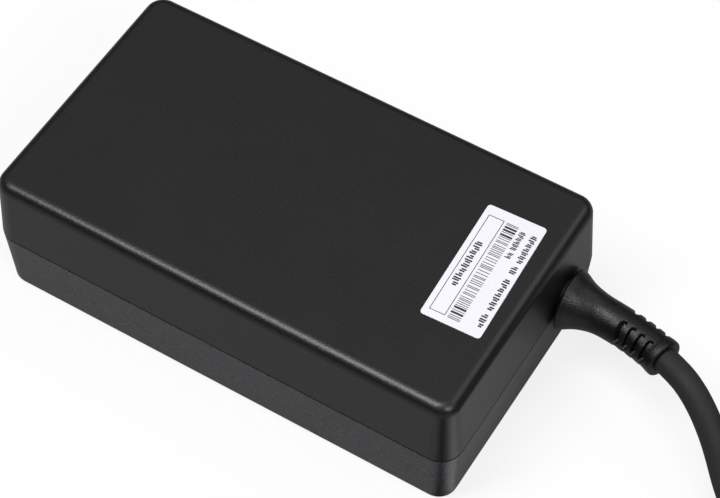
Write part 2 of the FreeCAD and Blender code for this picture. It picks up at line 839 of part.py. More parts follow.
def cord_tie():
    """Strap round both layers of turns, with its end laid over itself."""
    quarters = (tie_turn - coil_entry_turn) / 90
    half_width = tie_width / 2
    outer = coil_radius - turn_pitch * quarters / 4 + cord_diameter / 2
    nearest = min((inward_quarter_count - quarters) % 4, (quarters - inward_quarter_count) % 4)
    inner = reversal_radius + turn_pitch * nearest / 4 - cord_diameter / 2
    low = math.sqrt(inner ** 2 - half_width ** 2) - tie_gap
    high = outer + 2 * tie_gap
    height = layer_heights[1] + cord_diameter / 2 + tie_gap - tie_thickness
    corner = cord_diameter / 2 + tie_gap
    hole = rounded_prism(high - low, height, corner, -1, tie_width + 1)
    band = rounded_prism(high - low + 2 * tie_thickness, height + 2 * tie_thickness, corner + tie_thickness,
                         0, tie_width).cut(hole)
    top = height / 2 + tie_thickness
    flap = block(-tie_overlap / 2, tie_overlap / 2, top, top + tie_thickness, 0.4, tie_width - 0.4)
    flap = flap.makeChamfer(tie_thickness * 0.6, [e for e in flap.Edges
                                                  if e.BoundBox.YMin > top + tie_thickness - 1e-3
                                                  and e.BoundBox.XLength < 1e-3])
    tie = band.fuse(flap)
    tie.translate(Vector(0, 0, -half_width))
    tie.rotate(Vector(0, 0, 0), Vector(1, 0, 0), 90)
    tie.rotate(Vector(0, 0, 0), Vector(0, 0, 1), tie_turn)
    middle = (low + high) / 2
    turn = math.radians(tie_turn)
    tie.translate(Vector(coil_centre_x + middle * math.cos(turn), coil_centre_y + middle * math.sin(turn),
                         height / 2 + tie_thickness))
    return tie


# Barrel plug

def plug_start():
    """Place where the cord enters the plug."""
    return Vector(*tail_route[-1])


def plug_tube(outer, inner, start, end):
    """Tube on the plug's axis, measured from the front of the grip."""
    base = plug_start() + Vector(0, grip_length + start, 0)
    tube = cylinder(outer, base, (0, 1, 0), end - start)
    if inner > 0:
        tube = tube.cut(cylinder(inner, base - Vector(0, 1, 0), (0, 1, 0), end - start + 2))
    return tube


def plug_grip():
    """Moulded grip, narrow and ringed where the cord enters."""
    profile = [(0, 0), (0, grip_waist_radius - 0.6), (0.6, grip_waist_radius),
               (grip_waist_length, grip_waist_radius), (grip_waist_length + 2.5, grip_radius - 0.25),
               (grip_waist_length + 4, grip_radius), (grip_length - 2.4, grip_radius),
               (grip_length - 0.5, grip_radius - 0.7), (grip_length, grip_radius - 1.4), (grip_length, 0)]
    grip = turned(profile, plug_start(), (0, 1, 0))
    cuts = [plug_tube(plug_radius - plug_root_step + relief_bore_clearance, 0, -plug_root, 1)]
    for k in range(grip_ring_count):
        middle = -grip_length + 2.2 + k * 2.4
        cuts.append(plug_tube(grip_radius + 1, grip_waist_radius - grip_ring_depth,
                              middle - grip_ring_width / 2, middle + grip_ring_width / 2))
    return grip.cut(cuts)


def plug_sleeve():
    """Outer contact of the plug, narrower inside the grip, with a bevelled tip."""
    bore = plug_radius - plug_wall
    root = plug_radius - plug_root_step
    profile = [(-plug_root, bore), (-plug_root, root), (0, root), (0, plug_radius),
               (plug_length - plug_tip_bevel, plug_radius), (plug_length, plug_radius - plug_tip_bevel),
               (plug_length, bore)]
    return turned(profile, plug_start() + Vector(0, grip_length, 0), (0, 1, 0))


def plug_insulator():
    """Ring between the plug's two contacts."""
    return plug_tube(plug_radius - plug_wall - relief_bore_clearance,
                     plug_bore_radius + plug_contact_wall + relief_bore_clearance,
                     -plug_root, plug_length - 0.6)


def plug_inner_contact():
    """Inner contact of the plug, open to the front."""
    return plug_tube(plug_bore_radius + plug_contact_wall, plug_bore_radius, -plug_root, plug_length - 0.3)


# Board and heat paths

def circuit_board():
    """Board with holes for the four locating pins."""
    board = block(-board_length / 2, board_length / 2, -board_width / 2, board_width / 2,
                  board_under, board_top)
    holes = [cylinder(locating_pin_radius + fit_gap, Vector(x, y, board_under - 1), Vector(0, 0, 1),
                      board_thickness + 2) for x, y in stand_places()]
    return board.cut(holes)


def spreader(z_low):
    """Metal sheet that carries heat along the case."""
    return rounded_prism(spreader_length, spreader_width, 2, z_low, z_low + spreader_thickness)


def insulating_sheet(z_low):
    """Thin sheet between a heat spreader and the live parts."""
    return rounded_prism(spreader_length + 2 * sheet_margin, spreader_width + 2 * sheet_margin, 3,
                         z_low, z_low + sheet_thickness)


def top_spreader():
    """Heat spreader under the roof."""
    return spreader(roof_under - spreader_thickness)


def top_sheet():
    """Insulating sheet under the top heat spreader."""
    return insulating_sheet(ceiling)


def bottom_spreader():
    """Heat spreader on the floor."""
    return spreader(floor_top)


def bottom_sheet():
    """Insulating sheet on the bottom heat spreader."""
    return insulating_sheet(floor_top + spreader_thickness)


def thermal_pads():
    """Soft pads from the hot parts to the insulating sheets."""
    core_top = board_top + main_core[2]
    over_core = block_on(main_place, (main_core[0] - 2 * pad_margin, main_core[1] - 2 * pad_margin,
                                      ceiling - core_top), core_top)
    sheet_top = floor_top + spreader_thickness + sheet_thickness
    under_core = block_on(main_place, (main_core[0], main_core[1], board_under - sheet_top), sheet_top)
    sink_top = board_top + sink_height
    pads = [over_core, under_core]
    for x, length in ((primary_sink_place, primary_sink_length),
                      (secondary_sink_place, secondary_sink_length)):
        size = (length - 2 * pad_margin, sheet_reach() - sink_face_y, ceiling - sink_top)
        pads.append(block_on((x, (sheet_reach() + sink_face_y) / 2), size, sink_top))
    return grouped(pads)


def sheet_reach():
    """Edge of the insulating sheets across the case."""
    return spreader_width / 2 + sheet_margin


# Input side

def disc_part(place, radius, thickness, across):
    """Round leaded part that stands on two legs, thin along X or along Y."""
    axis = Vector(1, 0, 0) if across else Vector(0, 1, 0)
    side = Vector(0, 1, 0) if across else Vector(1, 0, 0)
    centre = Vector(place[0], place[1], board_top + leg_length + radius)
    ease = thickness * 0.25
    profile = [(0, 0), (0, radius - ease), (ease, radius), (thickness - ease, radius),
               (thickness, radius - ease), (thickness, 0)]
    body = turned(profile, centre - axis * (thickness / 2), axis)
    legs = []
    for way in (-1, 1):
        foot = centre + side * (way * radius * 0.5)
        legs.append(cylinder(leg_radius, Vector(foot.x, foot.y, board_top), Vector(0, 0, 1),
                             leg_length + radius * 0.5))
    return body.fuse(legs)


def fuse():
    """Ceramic tube fuse with metal end caps, on two wire legs."""
    x, y = fuse_place
    height = board_top + fuse_cap_radius + curved_clearance
    start = Vector(x - fuse_length / 2, y, height)
    profile = [(0, 0), (0, fuse_cap_radius), (fuse_cap_length, fuse_cap_radius),
               (fuse_cap_length, fuse_radius), (fuse_length - fuse_cap_length, fuse_radius),
               (fuse_length - fuse_cap_length, fuse_cap_radius), (fuse_length, fuse_cap_radius),
               (fuse_length, 0)]
    body = turned(profile, start, (1, 0, 0))
    legs = [cylinder(leg_radius, Vector(x + way * (fuse_length / 2 - 1.5), y, board_top),
                     Vector(0, 0, 1), fuse_cap_radius) for way in (-1, 1)]
    return body.fuse(legs)


def surge_varistor():
    """Disc that clips mains surges."""
    return disc_part(varistor_place, varistor_radius, varistor_thickness, False)


def inrush_thermistor():
    """Disc that limits the switch-on current."""
    return disc_part(thermistor_place, thermistor_radius, thermistor_thickness, True)


def film_capacitor():
    """Box capacitor across the mains lines."""
    body = block_on(film_capacitor_place, film_capacitor_size, board_top)
    return body.makeFillet(0.6, [e for e in body.Edges if e.BoundBox.ZMin > board_top + 1])


def safety_capacitors():
    """Two disc capacitors from the mains lines to earth."""
    return grouped([disc_part(place, safety_capacitor_radius, safety_capacitor_thickness, False)
                    for place in safety_capacitor_places])


def ring_core(radius, bore, height, base, axis):
    """Toroidal core with eased edges."""
    ease = 0.5
    profile = [(0, bore + ease), (0, radius - ease), (ease, radius), (height - ease, radius),
               (height, radius - ease), (height, bore + ease), (height - ease, bore), (ease, bore)]
    return turned(profile, base, axis)


def ring_winding(radius, bore, height, thickness, base, axis, start, arc):
    """Band of wire turns round part of a toroidal core."""
    clear = winding_clearance
    outer = [(-clear - thickness, bore - clear - thickness), (height + clear + thickness, bore - clear - thickness),
             (height + clear + thickness, radius + clear + thickness), (-clear - thickness, radius + clear + thickness)]
    inner = [(-clear, bore - clear), (height + clear, bore - clear), (height + clear, radius + clear),
             (-clear, radius + clear)]
    band = turned(outer, base, axis, arc)
    band = band.cut(turned(inner, base, axis, 360))
    band.rotate(base, Vector(axis), start)
    return band


def line_choke_base():
    """Underside of the line choke's core."""
    return Vector(line_choke_place[0], line_choke_place[1],
                  board_top + line_winding_thickness + winding_clearance)


def line_choke_core():
    """Toroidal core of the two-winding line choke."""
    return ring_core(line_choke_radius, line_choke_bore, line_choke_height, line_choke_base(), (0, 0, 1))


def line_choke_windings():
    """Two equal windings, one for each mains line."""
    return grouped([ring_winding(line_choke_radius, line_choke_bore, line_choke_height,
                                 line_winding_thickness, line_choke_base(), (0, 0, 1),
                                 start - line_winding_angle / 2, line_winding_angle) for start in (90, 270)])


def bridge_rectifier():
    """Flat rectifier bridge that stands on four legs."""
    length, depth, height = bridge_size
    body = block_on(bridge_place, bridge_size, board_top + bridge_lead)
    body = body.makeChamfer(1.2, [e for e in body.Edges if e.BoundBox.YLength > depth - 1e-3
                                  and e.BoundBox.ZMin > board_top + height - 1 and e.BoundBox.XMax < bridge_place[0]])
    legs = []
    for k in range(4):
        x = bridge_place[0] + (k - 1.5) * length / 4
        legs.append(block(x - 0.6, x + 0.6, bridge_place[1] - 0.4, bridge_place[1] + 0.4,
                          board_top, board_top + bridge_lead + 1))
    return body.fuse(legs)


# Wound parts on square cores

def frame_core(place, size, leg, yoke, side_leg):
    """Closed core with a middle leg and two windows, open along Y."""
    core = block_on(place, size, board_top)
    windows = []
    for way in (-1, 1):
        width = size[0] / 2 - side_leg - leg / 2
        x = place[0] + way * (leg / 2 + width / 2)
        windows.append(block(x - width / 2, x + width / 2, place[1] - size[1], place[1] + size[1],
                             board_top + yoke, board_top + size[2] - yoke))
    return core.cut(windows)


def upright_tube(place, outer, inner, radius, z_low, z_high):
    """Upright square tube with round outer corners."""
    tube = rounded_prism(outer[0], outer[1], radius, z_low, z_high)
    tube = tube.cut(block(-inner[0] / 2, inner[0] / 2, -inner[1] / 2, inner[1] / 2, z_low - 1, z_high + 1))
    tube.translate(Vector(place[0], place[1], 0))
    return tube


def coil_former(place, size, leg, yoke, side_leg):
    """Former round the middle leg, with an end plate below and above the winding."""
    z_low = board_top + yoke + bobbin_gap
    z_high = board_top + size[2] - yoke - bobbin_gap
    bore = (leg + 2 * bobbin_gap, size[1] + 2 * bobbin_gap)
    barrel = (bore[0] + 2 * bobbin_wall, bore[1] + 2 * bobbin_wall)
    reach = size[0] - 2 * side_leg - leg - 2 * bobbin_gap
    plate = (leg + reach, size[1] + reach)
    parts = [upright_tube(place, barrel, bore, 0.6, z_low, z_high)]
    for z in (z_low, z_high - bobbin_wall):
        parts.append(upright_tube(place, plate, bore, 1.5, z, z + bobbin_wall))
    return parts[0].fuse(parts[1:])


def square_winding(place, size, leg, yoke, side_leg):
    """Wire turns between the former's end plates."""
    z_low = board_top + yoke + bobbin_gap + bobbin_wall
    z_high = board_top + size[2] - yoke - bobbin_gap - bobbin_wall
    inner_x = leg + 2 * bobbin_gap + 2 * bobbin_wall
    inner_y = size[1] + 2 * bobbin_gap + 2 * bobbin_wall
    reach = size[0] - 2 * side_leg - leg - 2 * bobbin_gap - 2 * winding_inset
    return upright_tube(place, (leg + reach, size[1] + reach), (inner_x, inner_y), 2.5, z_low, z_high)


def boost_choke_core():
    """Core of the boost choke."""
    return frame_core(boost_place, boost_core, boost_leg, boost_yoke, boost_side_leg)


def boost_choke_former():
    """Former of the boost choke."""
    return coil_former(boost_place, boost_core, boost_leg, boost_yoke, boost_side_leg)


def boost_choke_winding():
    """Winding of the boost choke."""
    return square_winding(boost_place, boost_core, boost_leg, boost_yoke, boost_side_leg)


def transformer_core():
    """Core of the main transformer."""
    return frame_core(main_place, main_core, main_leg, main_yoke, main_side_leg)


def transformer_former():
    """Former of the main transformer."""
    return coil_former(main_place, main_core, main_leg, main_yoke, main_side_leg)


def transformer_windings():
    """Taped windings of the main transformer."""
    return square_winding(main_place, main_core, main_leg, main_yoke, main_side_leg)


# Heatsinks and the devices screwed to them

def screw_height():
    """Height of the screws that hold the devices."""
    return board_top + device_leg_length + device_body_height + device_tab_height / 2


def heatsink(x, length, device_places):
    """Folded plate that stands on the board, with a hole for each screw."""
    plate = block(x - length / 2, x + length / 2, sink_face_y, sink_face_y + sink_thickness,
                  board_top, board_top + sink_height)
    fold = block(x - length / 2, x + length / 2, sink_face_y, sink_face_y + sink_flange,
                 board_top + sink_height - sink_thickness, board_top + sink_height)
    holes = [cylinder(screw_radius + fit_gap, Vector(at, sink_face_y - 1, screw_height()), Vector(0, 1, 0),
                      sink_thickness + 2) for at in device_places]
    return plate.fuse(fold).cut(holes).removeSplitter()


def primary_heatsink():
    """Heatsink of the mains side."""
    return heatsink(primary_sink_place, primary_sink_length, primary_device_places)


def secondary_heatsink():
    """Heatsink of the output side."""
    return heatsink(secondary_sink_place, secondary_sink_length, secondary_device_places)


def power_device(x):
    """Moulded power device with a metal tab and three legs, its back to the heatsink."""
    back = sink_face_y - device_pad_thickness
    body_low = board_top + device_leg_length
    body_high = body_low + device_body_height
    half = device_width / 2
    body = block(x - half, x + half, back - device_thickness, back, body_low, body_high)
    tab = block(x - half, x + half, back - device_tab_thickness, back, body_high, body_high + device_tab_height)
    legs = []
    leg_y = back - device_thickness * 0.55
    for k in (-1, 0, 1):
        middle = x + k * device_leg_pitch
        legs.append(block(middle - device_leg_width / 2, middle + device_leg_width / 2,
                          leg_y - 0.25, leg_y + 0.25, board_top, body_low + 1))
    hole = cylinder(screw_radius + screw_hole_clearance, Vector(x, back - device_thickness, screw_height()),
                    Vector(0, 1, 0), 2 * device_thickness)
    return body.fuse([tab] + legs).cut(hole)


def boost_transistor():
    """Switch of the boost stage."""
    return power_device(primary_device_places[0])


def boost_diode():
    """Diode of the boost stage."""
    return power_device(primary_device_places[1])


def main_transistor():
    """Switch of the main transformer."""
    return power_device(primary_device_places[2])


def output_rectifier_first():
    """First rectifier of the output side."""
    return power_device(secondary_device_places[0])


def output_rectifier_second():
    """Second rectifier of the output side."""
    return power_device(secondary_device_places[1])


def all_device_places():
    """Places of every screwed device along the case."""
    return primary_device_places + secondary_device_places


def device_pads():
    """Insulating pads between the devices and the heatsinks."""
    pads = []
    low = board_top + device_leg_length
    for x in all_device_places():
        pad = block(x - device_width / 2, x + device_width / 2, sink_face_y - device_pad_thickness, sink_face_y,
                    low, low + device_body_height + device_tab_height)
        hole = cylinder(screw_radius + fit_gap, Vector(x, sink_face_y - 2, screw_height()), Vector(0, 1, 0), 4)
        pads.append(pad.cut(hole))
    return grouped(pads)


def device_screws():
    """Screws that hold the devices to the heatsinks."""
    screws = []
    for x in all_device_places():
        face = sink_face_y - device_pad_thickness - device_tab_thickness
        base = Vector(x, face - screw_head_height, screw_height())
        profile = [(0, 0), (0, screw_head_radius - 0.5), (0.5, screw_head_radius),
                   (screw_head_height, screw_head_radius), (screw_head_height, 0)]
        head = turned(profile, base, (0, 1, 0))
        shank_length = device_tab_thickness + device_pad_thickness + sink_thickness + 1
        shank = cylinder(screw_radius, Vector(x, face, screw_height()), (0, 1, 0), shank_length)
        reach = screw_head_radius * 0.65
        half = screw_slot_width / 2
        slots = [block(x - reach, x + reach, base.y - 1, base.y + screw_slot_depth,
                       screw_height() - half, screw_height() + half),
                 block(x - half, x + half, base.y - 1, base.y + screw_slot_depth,
                       screw_height() - reach, screw_height() + reach)]
        screws.append(head.fuse(shank).cut(slots))
    return grouped(screws)


# Bulk capacitor and output stage

def can_profile(radius, length):
    """Half section of a can with a rolled groove near its open end."""
    low = can_groove_place - can_groove_depth
    high = can_groove_place + can_groove_depth
    ease = can_edge_round
    return [(0, 0), (0, radius - 0.4), (0.4, radius), (low, radius), (can_groove_place, radius - can_groove_depth),
            (high, radius), (length - ease, radius), (length, radius - ease), (length, 0)]


def bulk_capacitor():
    """Large capacitor that lies along the board, its wire legs bent down at one end."""
    x, y = bulk_place
    height = board_top + bulk_radius + curved_clearance
    end = x + bulk_length / 2
    can = turned(can_profile(bulk_radius, bulk_length), Vector(end, y, height), (-1, 0, 0))
    legs = []
    for way in (-1, 1):
        side = y + way * bulk_radius * 0.4
        out = cylinder(leg_radius, Vector(end - 1, side, height), (1, 0, 0), 3 + leg_radius)
        down = cylinder(leg_radius, Vector(end + 2, side, board_top), (0, 0, 1), height - board_top)
        legs.extend([out, down])
    return can.fuse(legs)


def output_capacitors():
    """Row of output capacitors that stand on the board."""
    cans = []
    for k in range(output_can_count):
        y = output_can_place[1] + (k - (output_can_count - 1) / 2) * output_can_pitch
        cans.append(turned(can_profile(output_can_radius, output_can_height),
                           Vector(output_can_place[0], y, board_top), (0, 0, 1)))
    return grouped(cans)


def output_choke_base():
    """End face of the output choke's core."""
    rise = output_choke_radius + output_winding_thickness + winding_clearance
    return Vector(output_choke_place[0] - output_choke_height / 2, output_choke_place[1], board_top + rise)


def output_choke_core():
    """Toroidal core of the output choke, on its rim."""
    return ring_core(output_choke_radius, output_choke_bore, output_choke_height, output_choke_base(), (1, 0, 0))


def output_choke_winding():
    """Winding of the output choke."""
    return ring_winding(output_choke_radius, output_choke_bore, output_choke_height,
                        output_winding_thickness, output_choke_base(), (1, 0, 0), 30, output_winding_angle)


def optocoupler():
    """Feedback link across the isolation gap."""
    return block_on(optocoupler_place, optocoupler_size, board_top)


def control_chips():
    """Control chips of the boost stage and the main stage."""
    return grouped([block_on(place, chip_size, board_top) for place in chip_places])


def wire_down(aside, rise, radius, straight, bend):
    """Wire from the end of the jacket that bends down to the board."""
    start = relief_base - Vector(cord_inner_length, 0, 0) + Vector(0, aside, rise)
    corner = start - Vector(straight, 0, 0)
    foot = corner - Vector(bend, 0, bend)
    middle = corner - Vector(bend * math.sin(math.pi / 4), 0, bend * (1 - math.cos(math.pi / 4)))
    path = Part.Wire([Part.LineSegment(start, corner).toShape(), Part.Arc(corner, middle, foot).toShape(),
                      Part.LineSegment(foot, Vector(foot.x, foot.y, board_top)).toShape()])
    return tube_along(path, radius)


def positive_wire():
    """Positive output wire."""
    return wire_down(power_wire_offset, power_wire_rise, power_wire_radius, power_wire_straight, power_wire_bend)


def negative_wire():
    """Negative output wire."""
    return wire_down(-power_wire_offset, power_wire_rise, power_wire_radius, power_wire_straight, power_wire_bend)


def sense_wire():
    """Thin wire that reports the output voltage."""
    return wire_down(0, -sense_wire_drop, sense_wire_radius, sense_wire_straight, sense_wire_bend)


def line_pin():
    """Line contact of the inlet."""
    return inlet_pin("line")


def neutral_pin():
    """Neutral contact of the inlet."""
    return inlet_pin("neutral")


def earth_pin():
    """Earth contact of the inlet."""
    return inlet_pin("earth")


NODES = (
    upper_shell, lower_shell, product_label, inlet_housing, line_pin, neutral_pin, earth_pin,
    strain_relief, dc_cord_inner_end, dc_cord, dc_cord_coil, dc_cord_tail, cord_tie,
    plug_grip, plug_sleeve, plug_insulator, plug_inner_contact,
    circuit_board, top_spreader, top_sheet, bottom_spreader, bottom_sheet, thermal_pads,
    fuse, surge_varistor, inrush_thermistor, film_capacitor, safety_capacitors,
    line_choke_core, line_choke_windings, bridge_rectifier,
    boost_choke_core, boost_choke_former, boost_choke_winding,
    transformer_core, transformer_former, transformer_windings,
    primary_heatsink, secondary_heatsink, boost_transistor, boost_diode, main_transistor,
    output_rectifier_first, output_rectifier_second, device_pads, device_screws,
    bulk_capacitor, output_capacitors, output_choke_core, output_choke_winding,
    optocoupler, control_chips, positive_wire, negative_wire, sense_wire,
)


def main():
    """Build every node and write it as its own file."""
    os.makedirs("parts", exist_ok=True)
    for make in NODES:
        shape = make()
        if not shape.isValid():
            print("not valid:", make.__name__)
        shape.exportStep(os.path.join("parts", make.__name__ + ".step"))
    paths = [route_wire(free_route(), "free stretch"), coil_path(), route_wire(tail_route, "tail")]
    print("least gap of the cord to itself", round(least_gap(paths), 2))
    print("nodes", len(NODES))


main()
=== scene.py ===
"""Laptop power adapter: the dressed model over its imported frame, with a plain studio."""

import logging
import math
from dataclasses import dataclass
from enum import Enum

import bmesh
import bpy
from mathutils import Matrix, Vector


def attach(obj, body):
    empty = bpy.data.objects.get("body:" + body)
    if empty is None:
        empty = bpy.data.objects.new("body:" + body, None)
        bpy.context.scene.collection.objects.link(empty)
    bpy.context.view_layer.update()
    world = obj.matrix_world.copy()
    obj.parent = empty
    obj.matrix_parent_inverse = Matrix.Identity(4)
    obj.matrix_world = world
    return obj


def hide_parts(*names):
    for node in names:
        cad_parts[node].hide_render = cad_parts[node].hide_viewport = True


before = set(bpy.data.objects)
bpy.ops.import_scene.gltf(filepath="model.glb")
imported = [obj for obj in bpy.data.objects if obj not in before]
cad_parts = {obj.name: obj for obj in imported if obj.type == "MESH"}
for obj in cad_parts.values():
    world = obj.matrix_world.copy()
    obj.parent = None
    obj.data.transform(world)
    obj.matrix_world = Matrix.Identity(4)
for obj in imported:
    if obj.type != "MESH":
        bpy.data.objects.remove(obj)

LOG = logging.getLogger("power_adapter")
MM = 0.001
ROOT = "root"
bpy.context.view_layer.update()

Colour = tuple[float, float, float]
Point = tuple[float, float, float]
Pair = tuple[float, float]
Quad = tuple[float, float, float, float]
Socket = bpy.types.NodeSocket
WHITE: Colour = (1.0, 1.0, 1.0)


def opaque(colour: Colour) -> Quad:
    """Returns the colour with full alpha."""
    return (colour[0], colour[1], colour[2], 1.0)


def smoothstep(low: float, high: float, value: float) -> float:
    """Eased step from 0 at low to 1 at high.

    Args:
        low: value where the step starts.
        high: value where the step ends.
        value: place on the step.

    Returns:
        Height of the step, from 0 to 1.
    """
    share = min(max((value - low) / (high - low), 0.0), 1.0)
    return share * share * (3.0 - 2.0 * share)


# Shader building

class Wiring:
    """Adds nodes to one shader tree and joins them."""

    COLUMN_WIDTH = 180
    ROW_HEIGHT = 220
    NODES_PER_ROW = 8

    def __init__(self, tree: bpy.types.NodeTree) -> None:
        """Empties the tree.

        Args:
            tree: the shader tree.
        """
        self.tree = tree
        self.tree.nodes.clear()
        self.count = 0

    def add(self, kind: str, **settings: object) -> bpy.types.Node:
        """Adds a node.

        Args:
            kind: the node's type name.
            settings: values for the node's own properties.

        Returns:
            The new node.
        """
        node = self.tree.nodes.new(kind)
        row, column = divmod(self.count, self.NODES_PER_ROW)
        node.location = (self.COLUMN_WIDTH * column, -self.ROW_HEIGHT * row)
        self.count += 1
        for name, value in settings.items():
            setattr(node, name, value)
        return node

    def join(self, source: Socket, target: Socket) -> None:
        """Joins an output to an input."""
        self.tree.links.new(source, target)

    def give(self, target: Socket, value: object) -> None:
        """Gives an input a value, or joins it to an output.

        Args:
            target: the input.
            value: a number, a colour or an output.
        """
        if isinstance(value, Socket):
            self.join(value, target)
        else:
            target.default_value = value

    def noise(self, place: Socket, scale: object, detail: float = 2.0, rough: float = 0.5) -> Socket:
        """Adds a noise texture.

        Args:
            place: the coordinates.
            scale: features per metre, as a number or an output.
            detail: octaves of finer noise.
            rough: strength of each finer octave.

        Returns:
            The noise value's output.
        """
        node = self.add("ShaderNodeTexNoise")
        self.join(place, node.inputs["Vector"])
        self.give(node.inputs["Scale"], scale)
        node.inputs["Detail"].default_value = detail
        node.inputs["Roughness"].default_value = rough
        return node.outputs["Fac"]

    def remap(self, value: Socket, low: float, high: float, to_low: object, to_high: object) -> Socket:
        """Maps a value from one range to another.

        Args:
            value: the output to map.
            low: start of its range.
            high: end of its range.
            to_low: result at the start, a number or an output.
            to_high: result at the end, a number or an output.

        Returns:
            The mapped value's output.
        """
        node = self.add("ShaderNodeMapRange", interpolation_type="SMOOTHSTEP")
        self.join(value, node.inputs["Value"])
        node.inputs["From Min"].default_value = low
        node.inputs["From Max"].default_value = high
        self.give(node.inputs["To Min"], to_low)
        self.give(node.inputs["To Max"], to_high)
        return node.outputs["Result"]

    def blend(self, share: Socket, first: object, second: object) -> Socket:
        """Blends two colours.

        Args:
            share: the second colour's share.
            first: a colour or an output.
            second: a colour or an output.

        Returns:
            The blended colour's output.
        """
        node = self.add("ShaderNodeMix", data_type="RGBA")
        self.join(share, node.inputs[0])
        first_colour, second_colour = (socket for socket in node.inputs if socket.type == "RGBA")
        self.give(first_colour, first)
        self.give(second_colour, second)
        return next(socket for socket in node.outputs if socket.type == "RGBA")

    def sums(self, operation: str, first: object, second: object) -> Socket:
        """Adds a sum of two values.

        Args:
            operation: the kind of sum.
            first: a number or an output.
            second: a number or an output.

        Returns:
            The result's output.
        """
        node = self.add("ShaderNodeMath", operation=operation)
        self.give(node.inputs[0], first)
        self.give(node.inputs[1], second)
        return node.outputs[0]

    def mix_shaders(self, share: Socket, first: bpy.types.Node, second: bpy.types.Node,
                    out: bpy.types.Node) -> None:
        """Sends a mix of two shaders to the tree's output.

        Args:
            share: the second shader's share.
            first: node of the first shader.
            second: node of the second shader.
            out: the output node.
        """
        mix = self.add("ShaderNodeMixShader")
        self.join(share, mix.inputs[0])
        self.join(first.outputs[0], mix.inputs[1])
        self.join(second.outputs[0], mix.inputs[2])
        self.join(mix.outputs[0], out.inputs["Surface"])


class Effect(Enum):
    """The shared effect that a finish is built on."""

    GRAIN = "moulded_grain"
    LINES = "fine_lines"
    WEAVE = "plain_weave"


@dataclass(frozen=True)
class Pattern:
    """What an effect makes of a surface.

    Attributes:
        share: share of the lighter tone.
        height: height of the surface.
        wear: value that the gloss follows.
        span: wear at the smooth end and at the rough end.
    """

    share: Socket
    height: Socket
    wear: Socket
    span: Pair


